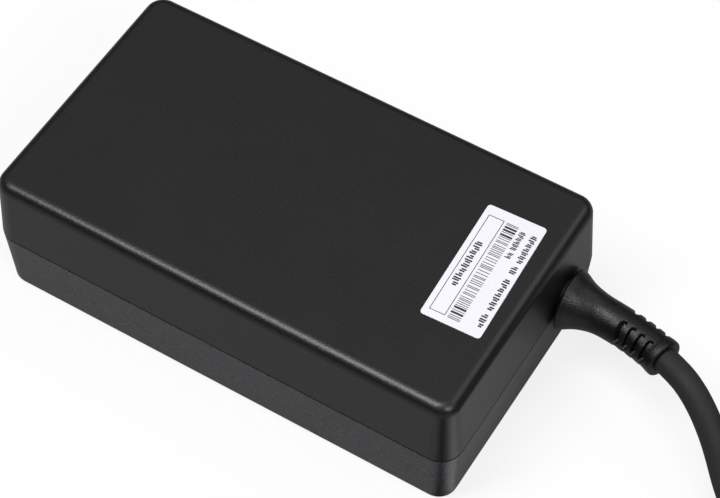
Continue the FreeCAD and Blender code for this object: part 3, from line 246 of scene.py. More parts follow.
class Effects:
    """Surface effects that several finishes share, each a node group that is built once."""

    OWN_INPUTS = {Effect.GRAIN: ("Grain", "Cloud"), Effect.LINES: ("X", "Y", "Z", "Waver"),
                  Effect.WEAVE: ("Threads",)}
    FLOAT = "NodeSocketFloat"
    COLOUR = "NodeSocketColor"
    GRAIN_OCTAVES: Pair = (1.5, 0.6)
    CLOUD_OCTAVES: Pair = (3.0, 0.55)
    CLOUD_SHARE = 0.15
    GRAIN_SPAN: Pair = (0.38, 0.62)
    CLOUD_SPAN: Pair = (0.35, 0.65)
    WAVER_SCALE = 300.0
    GLOSS_SCALE = 120.0
    GLOSS_DETAIL = 3.0
    THREAD_SLANT = 0.7
    THREAD_SPAN: Pair = (-0.8, 0.8)

    @classmethod
    def group(cls, effect: Effect) -> bpy.types.NodeTree:
        """Returns an effect's node group, and builds it on first use.

        Args:
            effect: the effect.

        Returns:
            The group, which puts out a colour, a roughness and a height.
        """
        known = bpy.data.node_groups.get(effect.value)
        if known:
            return known
        tree = bpy.data.node_groups.new(effect.value, "ShaderNodeTree")
        inputs = [("Tone", cls.COLOUR), ("Shade", cls.COLOUR)]
        inputs += [(label, cls.FLOAT) for label in ("Smooth", "Rough") + cls.OWN_INPUTS[effect]]
        for label, kind in inputs:
            tree.interface.new_socket(name=label, in_out="INPUT", socket_type=kind)
        for label, kind in (("Color", cls.COLOUR), ("Roughness", cls.FLOAT), ("Height", cls.FLOAT)):
            tree.interface.new_socket(name=label, in_out="OUTPUT", socket_type=kind)
        w = Wiring(tree)
        given, made = w.add("NodeGroupInput").outputs, w.add("NodeGroupOutput").inputs
        place = w.add("ShaderNodeTexCoord").outputs["Object"]
        make = {Effect.GRAIN: cls.moulded_grain, Effect.LINES: cls.fine_lines, Effect.WEAVE: cls.plain_weave}
        pattern = make[effect](w, place, given)
        w.join(w.blend(pattern.share, given["Shade"], given["Tone"]), made["Color"])
        w.join(w.remap(pattern.wear, *pattern.span, given["Smooth"], given["Rough"]), made["Roughness"])
        w.join(pattern.height, made["Height"])
        return tree

    @classmethod
    def moulded_grain(cls, w: Wiring, place: Socket, given: bpy.types.NodeOutputs) -> Pattern:
        """Makes the fine eroded grain of a moulded face, with faint cloudy tone.

        Args:
            w: the group's wiring.
            place: the coordinates.
            given: the group's inputs.

        Returns:
            The pattern.
        """
        grain = w.noise(place, given["Grain"], *cls.GRAIN_OCTAVES)
        cloud = w.noise(place, given["Cloud"], *cls.CLOUD_OCTAVES)
        mixed = w.sums("ADD", w.sums("MULTIPLY", grain, 1.0 - cls.CLOUD_SHARE),
                       w.sums("MULTIPLY", cloud, cls.CLOUD_SHARE))
        return Pattern(w.remap(mixed, *cls.GRAIN_SPAN, 0.0, 1.0), grain, cloud, cls.CLOUD_SPAN)

    @classmethod
    def fine_lines(cls, w: Wiring, place: Socket, given: bpy.types.NodeOutputs) -> Pattern:
        """Makes fine lines side by side, as on wire turns, brushed metal and ribbed tape.

        Args:
            w: the group's wiring.
            place: the coordinates.
            given: the group's inputs.

        Returns:
            The pattern.
        """
        parts = w.add("ShaderNodeSeparateXYZ")
        w.join(place, parts.inputs[0])
        along = w.sums("MULTIPLY", parts.outputs["X"], given["X"])
        for axis in ("Y", "Z"):
            along = w.sums("ADD", along, w.sums("MULTIPLY", parts.outputs[axis], given[axis]))
        waver = w.sums("MULTIPLY", w.noise(place, cls.WAVER_SCALE), given["Waver"])
        wave = w.sums("SINE", w.sums("ADD", w.sums("MULTIPLY", along, 2.0 * math.pi), waver), 0.0)
        height = w.remap(wave, -1.0, 1.0, 0.0, 1.0)
        return Pattern(height, height, w.noise(place, cls.GLOSS_SCALE, cls.GLOSS_DETAIL), cls.CLOUD_SPAN)

    @classmethod
    def plain_weave(cls, w: Wiring, place: Socket, given: bpy.types.NodeOutputs) -> Pattern:
        """Makes threads that cross, as on woven tape and board laminate.

        Args:
            w: the group's wiring.
            place: the coordinates.
            given: the group's inputs.

        Returns:
            The pattern.
        """
        parts = w.add("ShaderNodeSeparateXYZ")
        w.join(place, parts.inputs[0])
        turns = w.sums("MULTIPLY", given["Threads"], math.pi)
        waves = []
        for axis in ("X", "Y"):
            run = w.sums("ADD", parts.outputs[axis], w.sums("MULTIPLY", parts.outputs["Z"], cls.THREAD_SLANT))
            waves.append(w.sums("SINE", w.sums("MULTIPLY", run, turns), 0.0))
        weave = w.remap(w.sums("MULTIPLY", *waves), *cls.THREAD_SPAN, 0.0, 1.0)
        return Pattern(weave, weave, weave, (1.0, 0.0))


@dataclass(frozen=True)
class Finish:
    """One surface finish: its tones, gloss and the shared effect that gives its texture."""

    name: str
    tone: Colour
    shade: Colour
    smooth: float
    rough: float
    effect: Effect = Effect.GRAIN
    scale: float = 3000.0
    cloud: float = 60.0
    lines: Point = (0.0, 0.0, 0.0)
    waver: float = 0.2
    relief: float = 0.2
    depth: float = 0.03
    metallic: float = 0.0
    ior: float = 1.5
    coat: float = 0.0
    coat_roughness: float = 0.2
    sheen: float = 0.0

    def settings(self) -> dict[str, object]:
        """Sorts the values for the shared effect's inputs.

        Returns:
            A value for each input's name.
        """
        values = {"Tone": opaque(self.tone), "Shade": opaque(self.shade),
                  "Smooth": self.smooth, "Rough": self.rough}
        own = {Effect.GRAIN: (self.scale, self.cloud), Effect.LINES: (*self.lines, self.waver),
               Effect.WEAVE: (self.scale,)}
        return values | dict(zip(Effects.OWN_INPUTS[self.effect], own[self.effect]))

    def material(self) -> bpy.types.Material:
        """Builds the finish on first use.

        Returns:
            The finish's material.
        """
        known = bpy.data.materials.get(self.name)
        if known:
            return known
        made = bpy.data.materials.new(self.name)
        made.use_nodes = True
        w = Wiring(made.node_tree)
        out = w.add("ShaderNodeOutputMaterial")
        skin = w.add("ShaderNodeBsdfPrincipled")
        w.join(skin.outputs["BSDF"], out.inputs["Surface"])
        texture = w.add("ShaderNodeGroup")
        texture.node_tree = Effects.group(self.effect)
        for label, value in self.settings().items():
            texture.inputs[label].default_value = value
        bump = w.add("ShaderNodeBump")
        bump.inputs["Strength"].default_value = self.relief
        bump.inputs["Distance"].default_value = self.depth * MM
        w.join(texture.outputs["Height"], bump.inputs["Height"])
        w.join(texture.outputs["Color"], skin.inputs["Base Color"])
        w.join(texture.outputs["Roughness"], skin.inputs["Roughness"])
        w.join(bump.outputs["Normal"], skin.inputs["Normal"])
        for label, value in (("Metallic", self.metallic), ("IOR", self.ior), ("Coat Weight", self.coat),
                             ("Coat Roughness", self.coat_roughness), ("Sheen Weight", self.sheen)):
            skin.inputs[label].default_value = value
        return made


UPPER_CASE = Finish("upper_case_plastic", (0.0100, 0.0099, 0.0107), (0.0044, 0.0044, 0.0048), 0.33, 0.34,
                    scale=2400.0, cloud=70.0, relief=0.55, depth=0.060, ior=1.50)
LOWER_CASE = Finish("lower_case_plastic", (0.0400, 0.0384, 0.0515), (0.0010, 0.0009, 0.0014), 0.36, 0.37,
                    scale=1900.0, cloud=70.0, relief=0.90, depth=0.120, ior=1.61)
RELIEF_RUBBER = Finish("relief_rubber", (0.0022, 0.0022, 0.0023), (0.0004, 0.0004, 0.0004), 0.36, 0.46,
                       scale=2300.0, cloud=420.0, relief=0.90, depth=0.100, ior=1.47)
CORD_RUBBER = Finish("cord_rubber", (0.0240, 0.0240, 0.0244), (0.0190, 0.0190, 0.0194), 0.62, 0.70,
                     scale=1900.0, cloud=160.0, relief=0.12, depth=0.020, ior=1.36)
LABEL_PAPER = Finish("label_paper", (0.90, 0.90, 0.955), (0.86, 0.86, 0.92), 0.42, 0.52,
                     scale=4000.0, cloud=90.0, relief=0.05, depth=0.010)
LABEL_INK = Finish("label_ink", (0.030, 0.028, 0.032), (0.018, 0.017, 0.020), 0.50, 0.60,
                   scale=5000.0, cloud=400.0, relief=0.03, depth=0.005)
INLET_PLASTIC = Finish("inlet_plastic", (0.0120, 0.0120, 0.0125), (0.0085, 0.0085, 0.0090), 0.40, 0.50,
                       scale=1800.0, cloud=90.0, relief=0.15, depth=0.030)
PIN_METAL = Finish("pin_metal", (0.72, 0.69, 0.62), (0.58, 0.55, 0.48), 0.18, 0.30, effect=Effect.LINES,
                   lines=(9000.0, 0.0, 0.0), waver=4.0, relief=0.08, depth=0.008, metallic=1.0)
PLUG_METAL = Finish("plug_metal", (0.80, 0.79, 0.77), (0.68, 0.67, 0.65), 0.12, 0.22, effect=Effect.LINES,
                    lines=(0.0, 7000.0, 0.0), waver=3.0, relief=0.06, depth=0.006, metallic=1.0)
PLUG_PLASTIC = Finish("plug_plastic", (0.0115, 0.0115, 0.0118), (0.0080, 0.0080, 0.0084), 0.36, 0.46,
                      scale=1900.0, cloud=150.0, relief=0.16, depth=0.030)
PLUG_CORE = Finish("plug_core_plastic", (0.020, 0.020, 0.021), (0.014, 0.014, 0.015), 0.30, 0.42,
                   scale=2500.0, cloud=200.0, relief=0.08, depth=0.015)
STRAP_WEAVE = Finish("strap_weave", (0.022, 0.022, 0.023), (0.008, 0.008, 0.009), 0.70, 0.90,
                     effect=Effect.WEAVE, scale=2400.0, relief=0.55, depth=0.10, sheen=0.35)
BOARD_LAMINATE = Finish("board_laminate", (0.030, 0.130, 0.045), (0.018, 0.085, 0.030), 0.28, 0.42,
                        effect=Effect.WEAVE, scale=1400.0, relief=0.10, depth=0.020, coat=0.4)
BARE_ALUMINIUM = Finish("bare_aluminium", (0.66, 0.66, 0.67), (0.54, 0.54, 0.55), 0.34, 0.50,
                        effect=Effect.LINES, lines=(0.0, 0.0, 5200.0), waver=8.0, relief=0.12, depth=0.010,
                        metallic=1.0)
INSULATING_FILM = Finish("insulating_film", (0.80, 0.78, 0.68), (0.72, 0.70, 0.60), 0.30, 0.42,
                         scale=900.0, cloud=30.0, relief=0.05, depth=0.010)
SOFT_PAD = Finish("soft_pad", (0.30, 0.36, 0.46), (0.22, 0.28, 0.38), 0.60, 0.75,
                  scale=1500.0, cloud=150.0, relief=0.25, depth=0.050)
DIPPED_CERAMIC = Finish("dipped_ceramic", (0.05, 0.14, 0.42), (0.03, 0.09, 0.30), 0.22, 0.36,
                        scale=700.0, cloud=150.0, relief=0.18, depth=0.080, coat=0.5)
DARK_CERAMIC = Finish("dark_ceramic", (0.030, 0.032, 0.030), (0.018, 0.019, 0.018), 0.34, 0.50,
                      scale=800.0, cloud=150.0, relief=0.18, depth=0.080)
FUSE_CERAMIC = Finish("fuse_ceramic", (0.66, 0.63, 0.56), (0.56, 0.53, 0.46), 0.24, 0.36,
                      scale=1200.0, cloud=120.0, relief=0.06, depth=0.020, coat=0.3)
BOX_PLASTIC = Finish("box_plastic", (0.62, 0.46, 0.06), (0.52, 0.38, 0.04), 0.26, 0.38,
                     scale=1400.0, cloud=80.0, relief=0.06, depth=0.020)
FERRITE = Finish("ferrite", (0.040, 0.040, 0.043), (0.025, 0.025, 0.027), 0.46, 0.62,
                 scale=2600.0, cloud=220.0, relief=0.30, depth=0.040)
ENAMELLED_WIRE = Finish("enamelled_wire", (0.48, 0.17, 0.05), (0.16, 0.05, 0.02), 0.20, 0.32,
                        effect=Effect.LINES, lines=(0.0, 0.0, 1400.0), waver=0.6, relief=0.8, depth=0.15,
                        metallic=0.4)
RING_WIRE = Finish("ring_wire", (0.50, 0.18, 0.05), (0.16, 0.05, 0.02), 0.20, 0.32,
                   effect=Effect.LINES, lines=(850.0, 850.0, 0.0), waver=0.6, relief=0.8, depth=0.18,
                   metallic=0.4)
YELLOW_TAPE = Finish("yellow_tape", (0.66, 0.50, 0.07), (0.56, 0.41, 0.05), 0.22, 0.34,
                     effect=Effect.LINES, lines=(0.0, 0.0, 320.0), waver=0.5, relief=0.3, depth=0.05,
                     coat=0.3)
FORMER_PLASTIC = Finish("former_plastic", (0.020, 0.020, 0.021), (0.013, 0.013, 0.014), 0.38, 0.50,
                        scale=1600.0, cloud=100.0, relief=0.10, depth=0.030)
DEVICE_EPOXY = Finish("device_epoxy", (0.016, 0.016, 0.017), (0.010, 0.010, 0.011), 0.44, 0.60,
                      scale=3200.0, cloud=300.0, relief=0.30, depth=0.030)
CAN_SLEEVE = Finish("can_sleeve", (0.020, 0.028, 0.075), (0.014, 0.020, 0.055), 0.18, 0.30,
                    scale=900.0, cloud=70.0, relief=0.05, depth=0.020, coat=0.5)
ZINC_STEEL = Finish("zinc_steel", (0.60, 0.60, 0.60), (0.45, 0.45, 0.46), 0.26, 0.44,
                    scale=1500.0, cloud=400.0, relief=0.10, depth=0.010, metallic=1.0)
RED_WIRE = Finish("red_wire", (0.42, 0.015, 0.015), (0.34, 0.010, 0.010), 0.30, 0.42,
                  scale=1200.0, cloud=90.0, relief=0.06, depth=0.020)
BLACK_WIRE = Finish("black_wire", (0.016, 0.016, 0.016), (0.011, 0.011, 0.011), 0.30, 0.42,
                    scale=1200.0, cloud=90.0, relief=0.06, depth=0.020)
WHITE_WIRE = Finish("white_wire", (0.74, 0.74, 0.72), (0.66, 0.66, 0.64), 0.30, 0.42,
                    scale=1200.0, cloud=90.0, relief=0.06, depth=0.020)


# Mesh building

def dress_node(name: str, finish: Finish) -> None:
    """Gives a carried-over node its finish.

    Args:
        name: the node.
        finish: its finish.
    """
    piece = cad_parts[name]
    piece.data.materials.clear()
    piece.data.materials.append(finish.material())
    LOG.info("node %s wears %s", name, finish.name)


def new_piece(name: str, mesh: bmesh.types.BMesh, finish: Finish,
              replaced: tuple[str, ...] = (), crease: float = 35.0) -> bpy.types.Object:
    """Turns a mesh into a finished piece that rides on the part.

    Args:
        name: the piece's name.
        mesh: its mesh, which is freed here.
        finish: its finish.
        replaced: nodes that the piece stands for.
        crease: angle above which an edge stays sharp, in degrees.

    Returns:
        The piece.
    """
    bmesh.ops.recalc_face_normals(mesh, faces=mesh.faces)
    data = bpy.data.meshes.new(name)
    mesh.to_mesh(data)
    mesh.free()
    data.shade_smooth()
    data.set_sharp_from_angle(angle=math.radians(crease))
    piece = bpy.data.objects.new(name, data)
    bpy.context.scene.collection.objects.link(piece)
    data.materials.append(finish.material())
    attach(piece, ROOT)
    if replaced:
        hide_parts(*replaced)
    LOG.info("piece %s has %d faces", name, len(data.polygons))
    return piece


def stitch_rings(mesh: bmesh.types.BMesh, rings: list[list[Vector]], closed: bool = False) -> None:
    """Joins rings of points with quads and closes the two ends.

    Args:
        mesh: the mesh to add to.
        rings: rings with the same number of points.
        closed: whether the last ring joins the first instead of getting a cap.
    """
    made = [[mesh.verts.new(point) for point in ring] for ring in rings]
    pairs = list(zip(made, made[1:]))
    if closed:
        pairs.append((made[-1], made[0]))
    for low, high in pairs:
        for k in range(len(low)):
            j = (k + 1) % len(low)
            mesh.faces.new((low[k], low[j], high[j], high[k]))
    if not closed:
        mesh.faces.new(list(reversed(made[0])))
        mesh.faces.new(made[-1])


def rounded_loop(half_x: float, half_y: float, corner: float, grow: float, steps: int) -> list[Pair]:
    """Outline of a rectangle with round corners.

    Args:
        half_x: half of its length.
        half_y: half of its width.
        corner: radius of its corners.
        grow: how far outside the rectangle the outline lies, less than 0 for inside.
        steps: steps in each corner.

    Returns:
        Points, counter-clockwise.
    """
    points = []
    for x_sign, y_sign, start in ((1, 1, 0), (-1, 1, 90), (-1, -1, 180), (1, -1, 270)):
        for step in range(steps + 1):
            turn = math.radians(start + 90.0 * step / steps)
            points.append((x_sign * (half_x - corner) + (corner + grow) * math.cos(turn),
                           y_sign * (half_y - corner) + (corner + grow) * math.sin(turn)))
    return points


def add_slab(mesh: bmesh.types.BMesh, low: Vector, high: Vector, turn: Matrix) -> None:
    """Adds a thin closed slab between two corners, moved by a matrix.

    Args:
        mesh: the mesh to add to.
        low: lowest corner.
        high: highest corner.
        turn: matrix that places the slab.
    """
    corners = [turn @ Vector((x, y, z)) for z in (low.z, high.z)
               for x, y in ((low.x, low.y), (high.x, low.y), (high.x, high.y), (low.x, high.y))]
    made = [mesh.verts.new(corner) for corner in corners]
    mesh.faces.new(list(reversed(made[:4])))
    mesh.faces.new(made[4:])
    for k in range(4):
        j = (k + 1) % 4
        mesh.faces.new((made[k], made[j], made[j + 4], made[k + 4]))


# Sub-assemblies

@dataclass
class CaseShells:
    """The two shells of the case."""

    def build(self) -> None:
        """Dresses both shells."""
        dress_node("upper_shell", UPPER_CASE)
        dress_node("lower_shell", LOWER_CASE)


@dataclass
class Sticker:
    """White sticker on the top face, with a plain printed pattern of bars and strokes."""

    length: float = 31.5
    width: float = 13.9
    thickness: float = 0.13
    soft_edge: float = 0.03
    print_height: float = 0.02
    print_sink: float = 0.01
    corner: float = 0.8
    corner_steps: int = 8
    centre: Pair = (44.85, 2.95)
    turn: float = 2.4
    base: float = 35.0
    box_row: Quad = (1.3, 5.0, 2.5, 29.7)
    line: float = 0.16
    bar_row: Quad = (5.6, 8.4, 2.6, 30.2)
    bar_margin: float = 0.5
    bar_widths: Pair = (0.17, 0.52)
    bar_gap: float = 0.20
    bar_gap_step: float = 0.15
    bar_gap_at_ends: float = 0.4
    bars_bold_from: float = 0.62
    bars_close_from: float = 0.7
    bar_series: tuple[int, int, int, int] = (7, 37, 11, 101)
    stroke_rows: tuple[tuple[float, float, float, float, tuple[int, ...]], ...] = (
        (2.9, 1.7, 9.7, 22.4, (10,)), (9.75, 1.5, 3.2, 10.9, (6, 2)), (12.35, 1.5, 3.0, 14.1, (7, 2)),
        (12.35, 1.5, 15.5, 29.1, (7, 3)),
    )
    stroke_places: Pair = (0.08, 0.50)
    stroke_width: float = 0.31
    stroke_cuts: Pair = (0.16, 0.14)
    stroke_series: tuple[int, int, int, int] = (5, 29, 13, 97)
    group_gap: float = 0.7

    def placing(self) -> Matrix:
        """Returns the matrix from the sticker's own millimetres to the part."""
        spot = Matrix.Translation(Vector((self.centre[0], self.centre[1], self.base)) * MM)
        return spot @ Matrix.Rotation(math.radians(self.turn), 4, "Z") @ Matrix.Scale(MM, 4)

    def mark(self, mesh: bmesh.types.BMesh, a_low: float, a_high: float, b_low: float, b_high: float) -> None:
        """Adds one printed mark.

        Args:
            mesh: the print's mesh.
            a_low: near side, from the edge away from the cord.
            a_high: far side.
            b_low: start, from the edge on the far long side.
            b_high: end.
        """
        low = Vector((a_low - self.width / 2, self.length / 2 - b_high, self.thickness - self.print_sink))
        high = Vector((a_high - self.width / 2, self.length / 2 - b_low, self.thickness + self.print_height))
        add_slab(mesh, low, high, self.placing())

    def sheet(self) -> None:
        """Builds the sticker's sheet with round corners and a soft top edge."""
        rings = []
        for height, inset in ((0.0, 0.0), (self.thickness - self.soft_edge, 0.0),
                              (self.thickness, self.soft_edge)):
            loop = rounded_loop(self.width / 2, self.length / 2, self.corner, -inset, self.corner_steps)
            rings.append([self.placing() @ Vector((x, y, height)) for x, y in loop])
        mesh = bmesh.new()
        stitch_rings(mesh, rings)
        new_piece("label_sheet", mesh, LABEL_PAPER, ("product_label",))

    def bars(self, mesh: bmesh.types.BMesh) -> None:
        """Adds a row of bars whose widths come from a simple series, bolder and closer at its ends.

        Args:
            mesh: the print's mesh.
        """
        a_low, a_high, start, end = self.bar_row
        state, factor, step, size = self.bar_series
        place = start
        while place < end - self.bar_margin:
            state = (state * factor + step) % size
            off_middle = abs((place - start) / (end - start) - 0.5) * 2
            thick = self.bar_widths[0 if state % 5 or off_middle < self.bars_bold_from else 1]
            squeeze = self.bar_gap_at_ends if off_middle > self.bars_close_from else 1.0
            gap = self.bar_gap + self.bar_gap_step * (state % 4) * squeeze
            self.mark(mesh, a_low, a_high, place, place + thick)
            place += thick + gap

    def strokes(self, mesh: bmesh.types.BMesh, middle: float, tall: float, start: float, end: float,
                groups: tuple[int, ...]) -> None:
        """Adds a row of short plain strokes, in pairs and groups.

        Args:
            mesh: the print's mesh.
            middle: middle of the row across the sticker.
            tall: height of the row.
            start: where the row starts along the sticker.
            end: where it ends.
            groups: number of pairs in each group.
        """
        pitch = (end - start) / (sum(groups) + self.group_gap * (len(groups) - 1))
        state, factor, step, size = self.stroke_series
        place = start
        for count in groups:
            for _ in range(count):
                for side in self.stroke_places:
                    state = (state * factor + step) % size
                    low = self.stroke_cuts[0] * tall * (state % 3)
                    high = self.stroke_cuts[1] * tall * (state % 2)
                    self.mark(mesh, middle - tall / 2 + low, middle + tall / 2 - high,
                              place + side * pitch, place + (side + self.stroke_width) * pitch)
                place += pitch
            place += self.group_gap * pitch

    def build(self) -> None:
        """Builds the sheet and its print."""
        self.sheet()
        mesh = bmesh.new()
        a_low, a_high, b_low, b_high = self.box_row
        for a in (a_low, a_high - self.line):
            self.mark(mesh, a, a + self.line, b_low, b_high)
        for b in (b_low, b_high - self.line):
            self.mark(mesh, a_low + self.line, a_high - self.line, b, b + self.line)
        self.bars(mesh)
        for row in self.stroke_rows:
            self.strokes(mesh, *row)
        new_piece("label_print", mesh, LABEL_INK, crease=20.0)


@dataclass
class StrainRelief:
    """Flexible sleeve where the cord leaves the case, with slots across it."""

    base: Point = (58.0, 17.0, 17.4)
    straight: float = 6.0
    bend_radius: float = 55.0
    lean: float = 172.0
    length: float = 26.0
    bore: float = 3.02
    body: float = 4.4
    slot_first: float = 15.2
    slot_pitch: float = 2.5
    slot_count: int = 4
    slot_width: float = 1.30
    slot_floor: float = 3.3
    slot_half_angle: float = 29.0
    slot_middles: Point = (18.0, 141.0, 236.0)
    edge: float = 0.24
    round_steps: int = 180
    flange: tuple[Pair, ...] = (
        (-4.75, 6.6), (-4.6, 6.95), (-4.4, 7.0), (-3.1, 7.0), (-2.9, 6.95), (-2.78, 6.6), (-2.78, 5.0),
        (0.55, 5.0), (0.6, 6.4),
    )
    skin: tuple[Pair, ...] = (
        (0.6, 6.80), (0.68, 7.05), (0.82, 7.17), (1.0, 7.20), (1.2, 7.12), (1.5, 6.98), (2.0, 6.78),
        (2.5, 6.54), (3.0, 6.25), (3.5, 5.98), (4.0, 5.74), (4.5, 5.53), (5.0, 5.34), (6.0, 5.04),
        (7.0, 4.80), (8.0, 4.61), (9.0, 4.50), (10.0, 4.44), (12.0, 4.41), (14.0, 4.40), (23.6, 4.40),
        (23.9, 4.44), (24.3, 4.52), (24.8, 4.55), (25.5, 4.54), (25.72, 4.47), (25.88, 4.33),
        (25.96, 4.18), (26.0, 4.02),
    )
    rim_rings: tuple[float, ...] = (0.63, 0.68, 0.75, 0.82, 0.9, 1.0, 1.1, 1.2, 1.35, 1.5, 1.75, 2.0, 2.25)
    strides: tuple[Pair, ...] = ((14.7, 0.41), (23.75, 0.08))
    collar_rings: tuple[float, ...] = (23.9, 24.05, 24.3, 24.55, 24.8, 25.2, 25.5, 25.62, 25.72, 25.8, 25.88,
                                       25.93, 25.96)
    bore_stride: float = 1.45

    def spot(self, along: float) -> tuple[Vector, Vector]:
        """Point and direction on the bent axis.

        Args:
            along: distance from the case's face, in millimetres.

        Returns:
            The point and the direction along the axis.
        """
        lean = math.radians(self.lean)
        side = Vector((0.0, math.cos(lean), math.sin(lean)))
        turn = max(along - self.straight, 0.0) / self.bend_radius
        point = Vector(self.base) + Vector((min(along, self.straight), 0.0, 0.0))
        point += Vector((self.bend_radius * math.sin(turn), 0.0, 0.0))
        point += side * (self.bend_radius * (1.0 - math.cos(turn)))
        ahead = Vector((math.cos(turn), 0.0, 0.0)) + side * math.sin(turn)
        return point, ahead

    def plain_radius(self, along: float) -> float:
        """Radius without the slots.

        Args:
            along: distance from the case's face.

        Returns:
            The radius.
        """
        if along <= self.skin[0][0]:
            return self.skin[0][1]
        for (low, start), (high, end) in zip(self.skin, self.skin[1:]):
            if along <= high:
                return start + (end - start) * (along - low) / (high - low)
        return self.skin[-1][1]

    def slot_share(self, along: float, angle: float) -> float:
        """How far a place lies in a slot.

        Args:
            along: distance from the case's face.
            angle: angle from the far side toward the top, in degrees.

        Returns:
            From 0 on the skin to 1 on the slot's floor.
        """
        best = 0.0
        deep, shallow = (self.slot_width - self.edge) / 2, (self.slot_width + self.edge) / 2
        for centre in self.slot_middles:
            off = (angle - centre + 180.0) % 360.0 - 180.0
            arc = math.radians(max(abs(off) - self.slot_half_angle, 0.0)) * self.body
            for k in range(self.slot_count):
                gap = math.hypot(along - (self.slot_first + k * self.slot_pitch), arc)
                best = max(best, 1.0 - smoothstep(deep, shallow, gap))
        return best

    def ring(self, along: float, radius: float | None = None) -> list[Vector]:
        """Ring of points round the axis.

        Args:
            along: distance from the case's face.
            radius: fixed radius, or None for the sleeve's own skin.

        Returns:
            The ring's points in metres.
        """
        point, ahead = self.spot(along)
        rise = Vector((0.0, 0.0, 1.0))
        up = (rise - ahead * rise.dot(ahead)).normalized()
        far = up.cross(ahead).normalized()
        points = []
        for k in range(self.round_steps):
            degrees = 360.0 * k / self.round_steps
            turn = math.radians(degrees)
            size = radius
            if size is None:
                skin = self.plain_radius(along)
                size = skin + (self.slot_floor - skin) * self.slot_share(along, degrees)
            points.append((point + (far * math.cos(turn) + up * math.sin(turn)) * size) * MM)
        return points

    def build(self) -> bpy.types.Object:
        """Builds the sleeve as one closed skin round its bore.

        Returns:
            The piece.
        """
        rings = [self.ring(self.flange[0][0], self.bore)]
        rings += [self.ring(along, radius) for along, radius in self.flange]
        steps = list(self.rim_rings)
        for end, stride in self.strides:
            while steps[-1] < end:
                steps.append(steps[-1] + stride)
        rings += [self.ring(along) for along in steps + list(self.collar_rings) + [self.length]]
        back = [self.length - k * self.bore_stride for k in range(int(self.length / self.bore_stride) + 1)]
        rings += [self.ring(along, self.bore) for along in back + [0.0]]
        mesh = bmesh.new()
        stitch_rings(mesh, rings, closed=True)
        return new_piece("strain_relief_sleeve", mesh, RELIEF_RUBBER, ("strain_relief",),
                         crease=50.0)


@dataclass
class OutputCord:
    """Output cord on one smooth line: free stretch, put-away coil and the run to the plug."""

    diameter: float = 6.0
    length: float = 1.72
    centre: Pair = (157.0, 15.0)
    coil_radius: float = 48.0
    turn_pitch: float = 6.5
    layers: Pair = (4.3, 10.8)
    quarters_in: int = 15
    quarters_out: int = 14
    entry_turn: float = 216.8699
    steps_per_quarter: int = 6
    curve_order: int = 3
    curve_steps: int = 10
    round_steps: int = 6
    route: tuple[Point, ...] = (
        (83.562, 13.439, 17.901), (87.861, 11.818, 18.128), (91.848, 9.956, 17.316), (95.613, 7.823, 15.597),
        (98.836, 5.719, 13.431), (101.9, 3.5, 10.8), (106.8, -0.7, 6.1), (111.8, -4.8, 4.3),
        (115.0, -9.0, 4.3),
    )
    tail: tuple[Point, ...] = (
        (189.625, -18.5, 10.8), (195.625, -14.0, 10.8), (201.5, -8.5, 9.3), (206.3, -2.0, 7.3),
        (209.9, 5.0, 5.8), (211.8, 12.5, 5.25), (211.8, 20.0, 5.25),
    )

    def coil_points(self) -> list[Point]:
        """Control points of the two layers of turns.

        Returns:
            Points in millimetres, in order along the cord.
        """
        step = math.radians(90.0 / self.steps_per_quarter)
        swell = 1.0 / math.cos(step / 2)
        innermost = self.coil_radius - self.turn_pitch * self.quarters_in / 4
        points = []
        last = (self.quarters_in + self.quarters_out) * self.steps_per_quarter
        for k in range(last + 1):
            quarters = k / self.steps_per_quarter
            radius = innermost + self.turn_pitch * abs(quarters - self.quarters_in) / 4
            turn = math.radians(self.entry_turn) + step * k
            climb = smoothstep(self.quarters_in - 1, self.quarters_in + 1, quarters)
            height = self.layers[0] + (self.layers[1] - self.layers[0]) * climb
            size = radius * (swell if 0 < k < last else 1.0)
            points.append((self.centre[0] + size * math.cos(turn), self.centre[1] + size * math.sin(turn),
                           height))
        return points

    def build(self, riders: list[bpy.types.Object]) -> bpy.types.Object:
        """Args:
            riders: the separate pieces on the cord; not used.

        Returns:
            The cord's curve.
        """
        points = list(self.route) + self.coil_points() + list(self.tail)
        data = bpy.data.curves.new("output_cord", "CURVE")
        data.dimensions = "3D"
        spline = data.splines.new("NURBS")
        spline.points.add(len(points) - 1)
        for control, point in zip(spline.points, points):
            control.co = (point[0] * MM, point[1] * MM, point[2] * MM, 1.0)
        spline.order_u = self.curve_order
        spline.use_endpoint_u = True
        data.resolution_u = self.curve_steps
        data.bevel_depth = self.diameter / 2 * MM
        data.bevel_resolution = self.round_steps
        data.use_fill_caps = True
        cord = bpy.data.objects.new("output_cord", data)
        bpy.context.scene.collection.objects.link(cord)
        data.materials.append(CORD_RUBBER.material())
        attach(cord, ROOT)
        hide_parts("dc_cord", "dc_cord_coil", "dc_cord_tail")
        LOG.info("piece output_cord has %d points", len(points))
        return cord


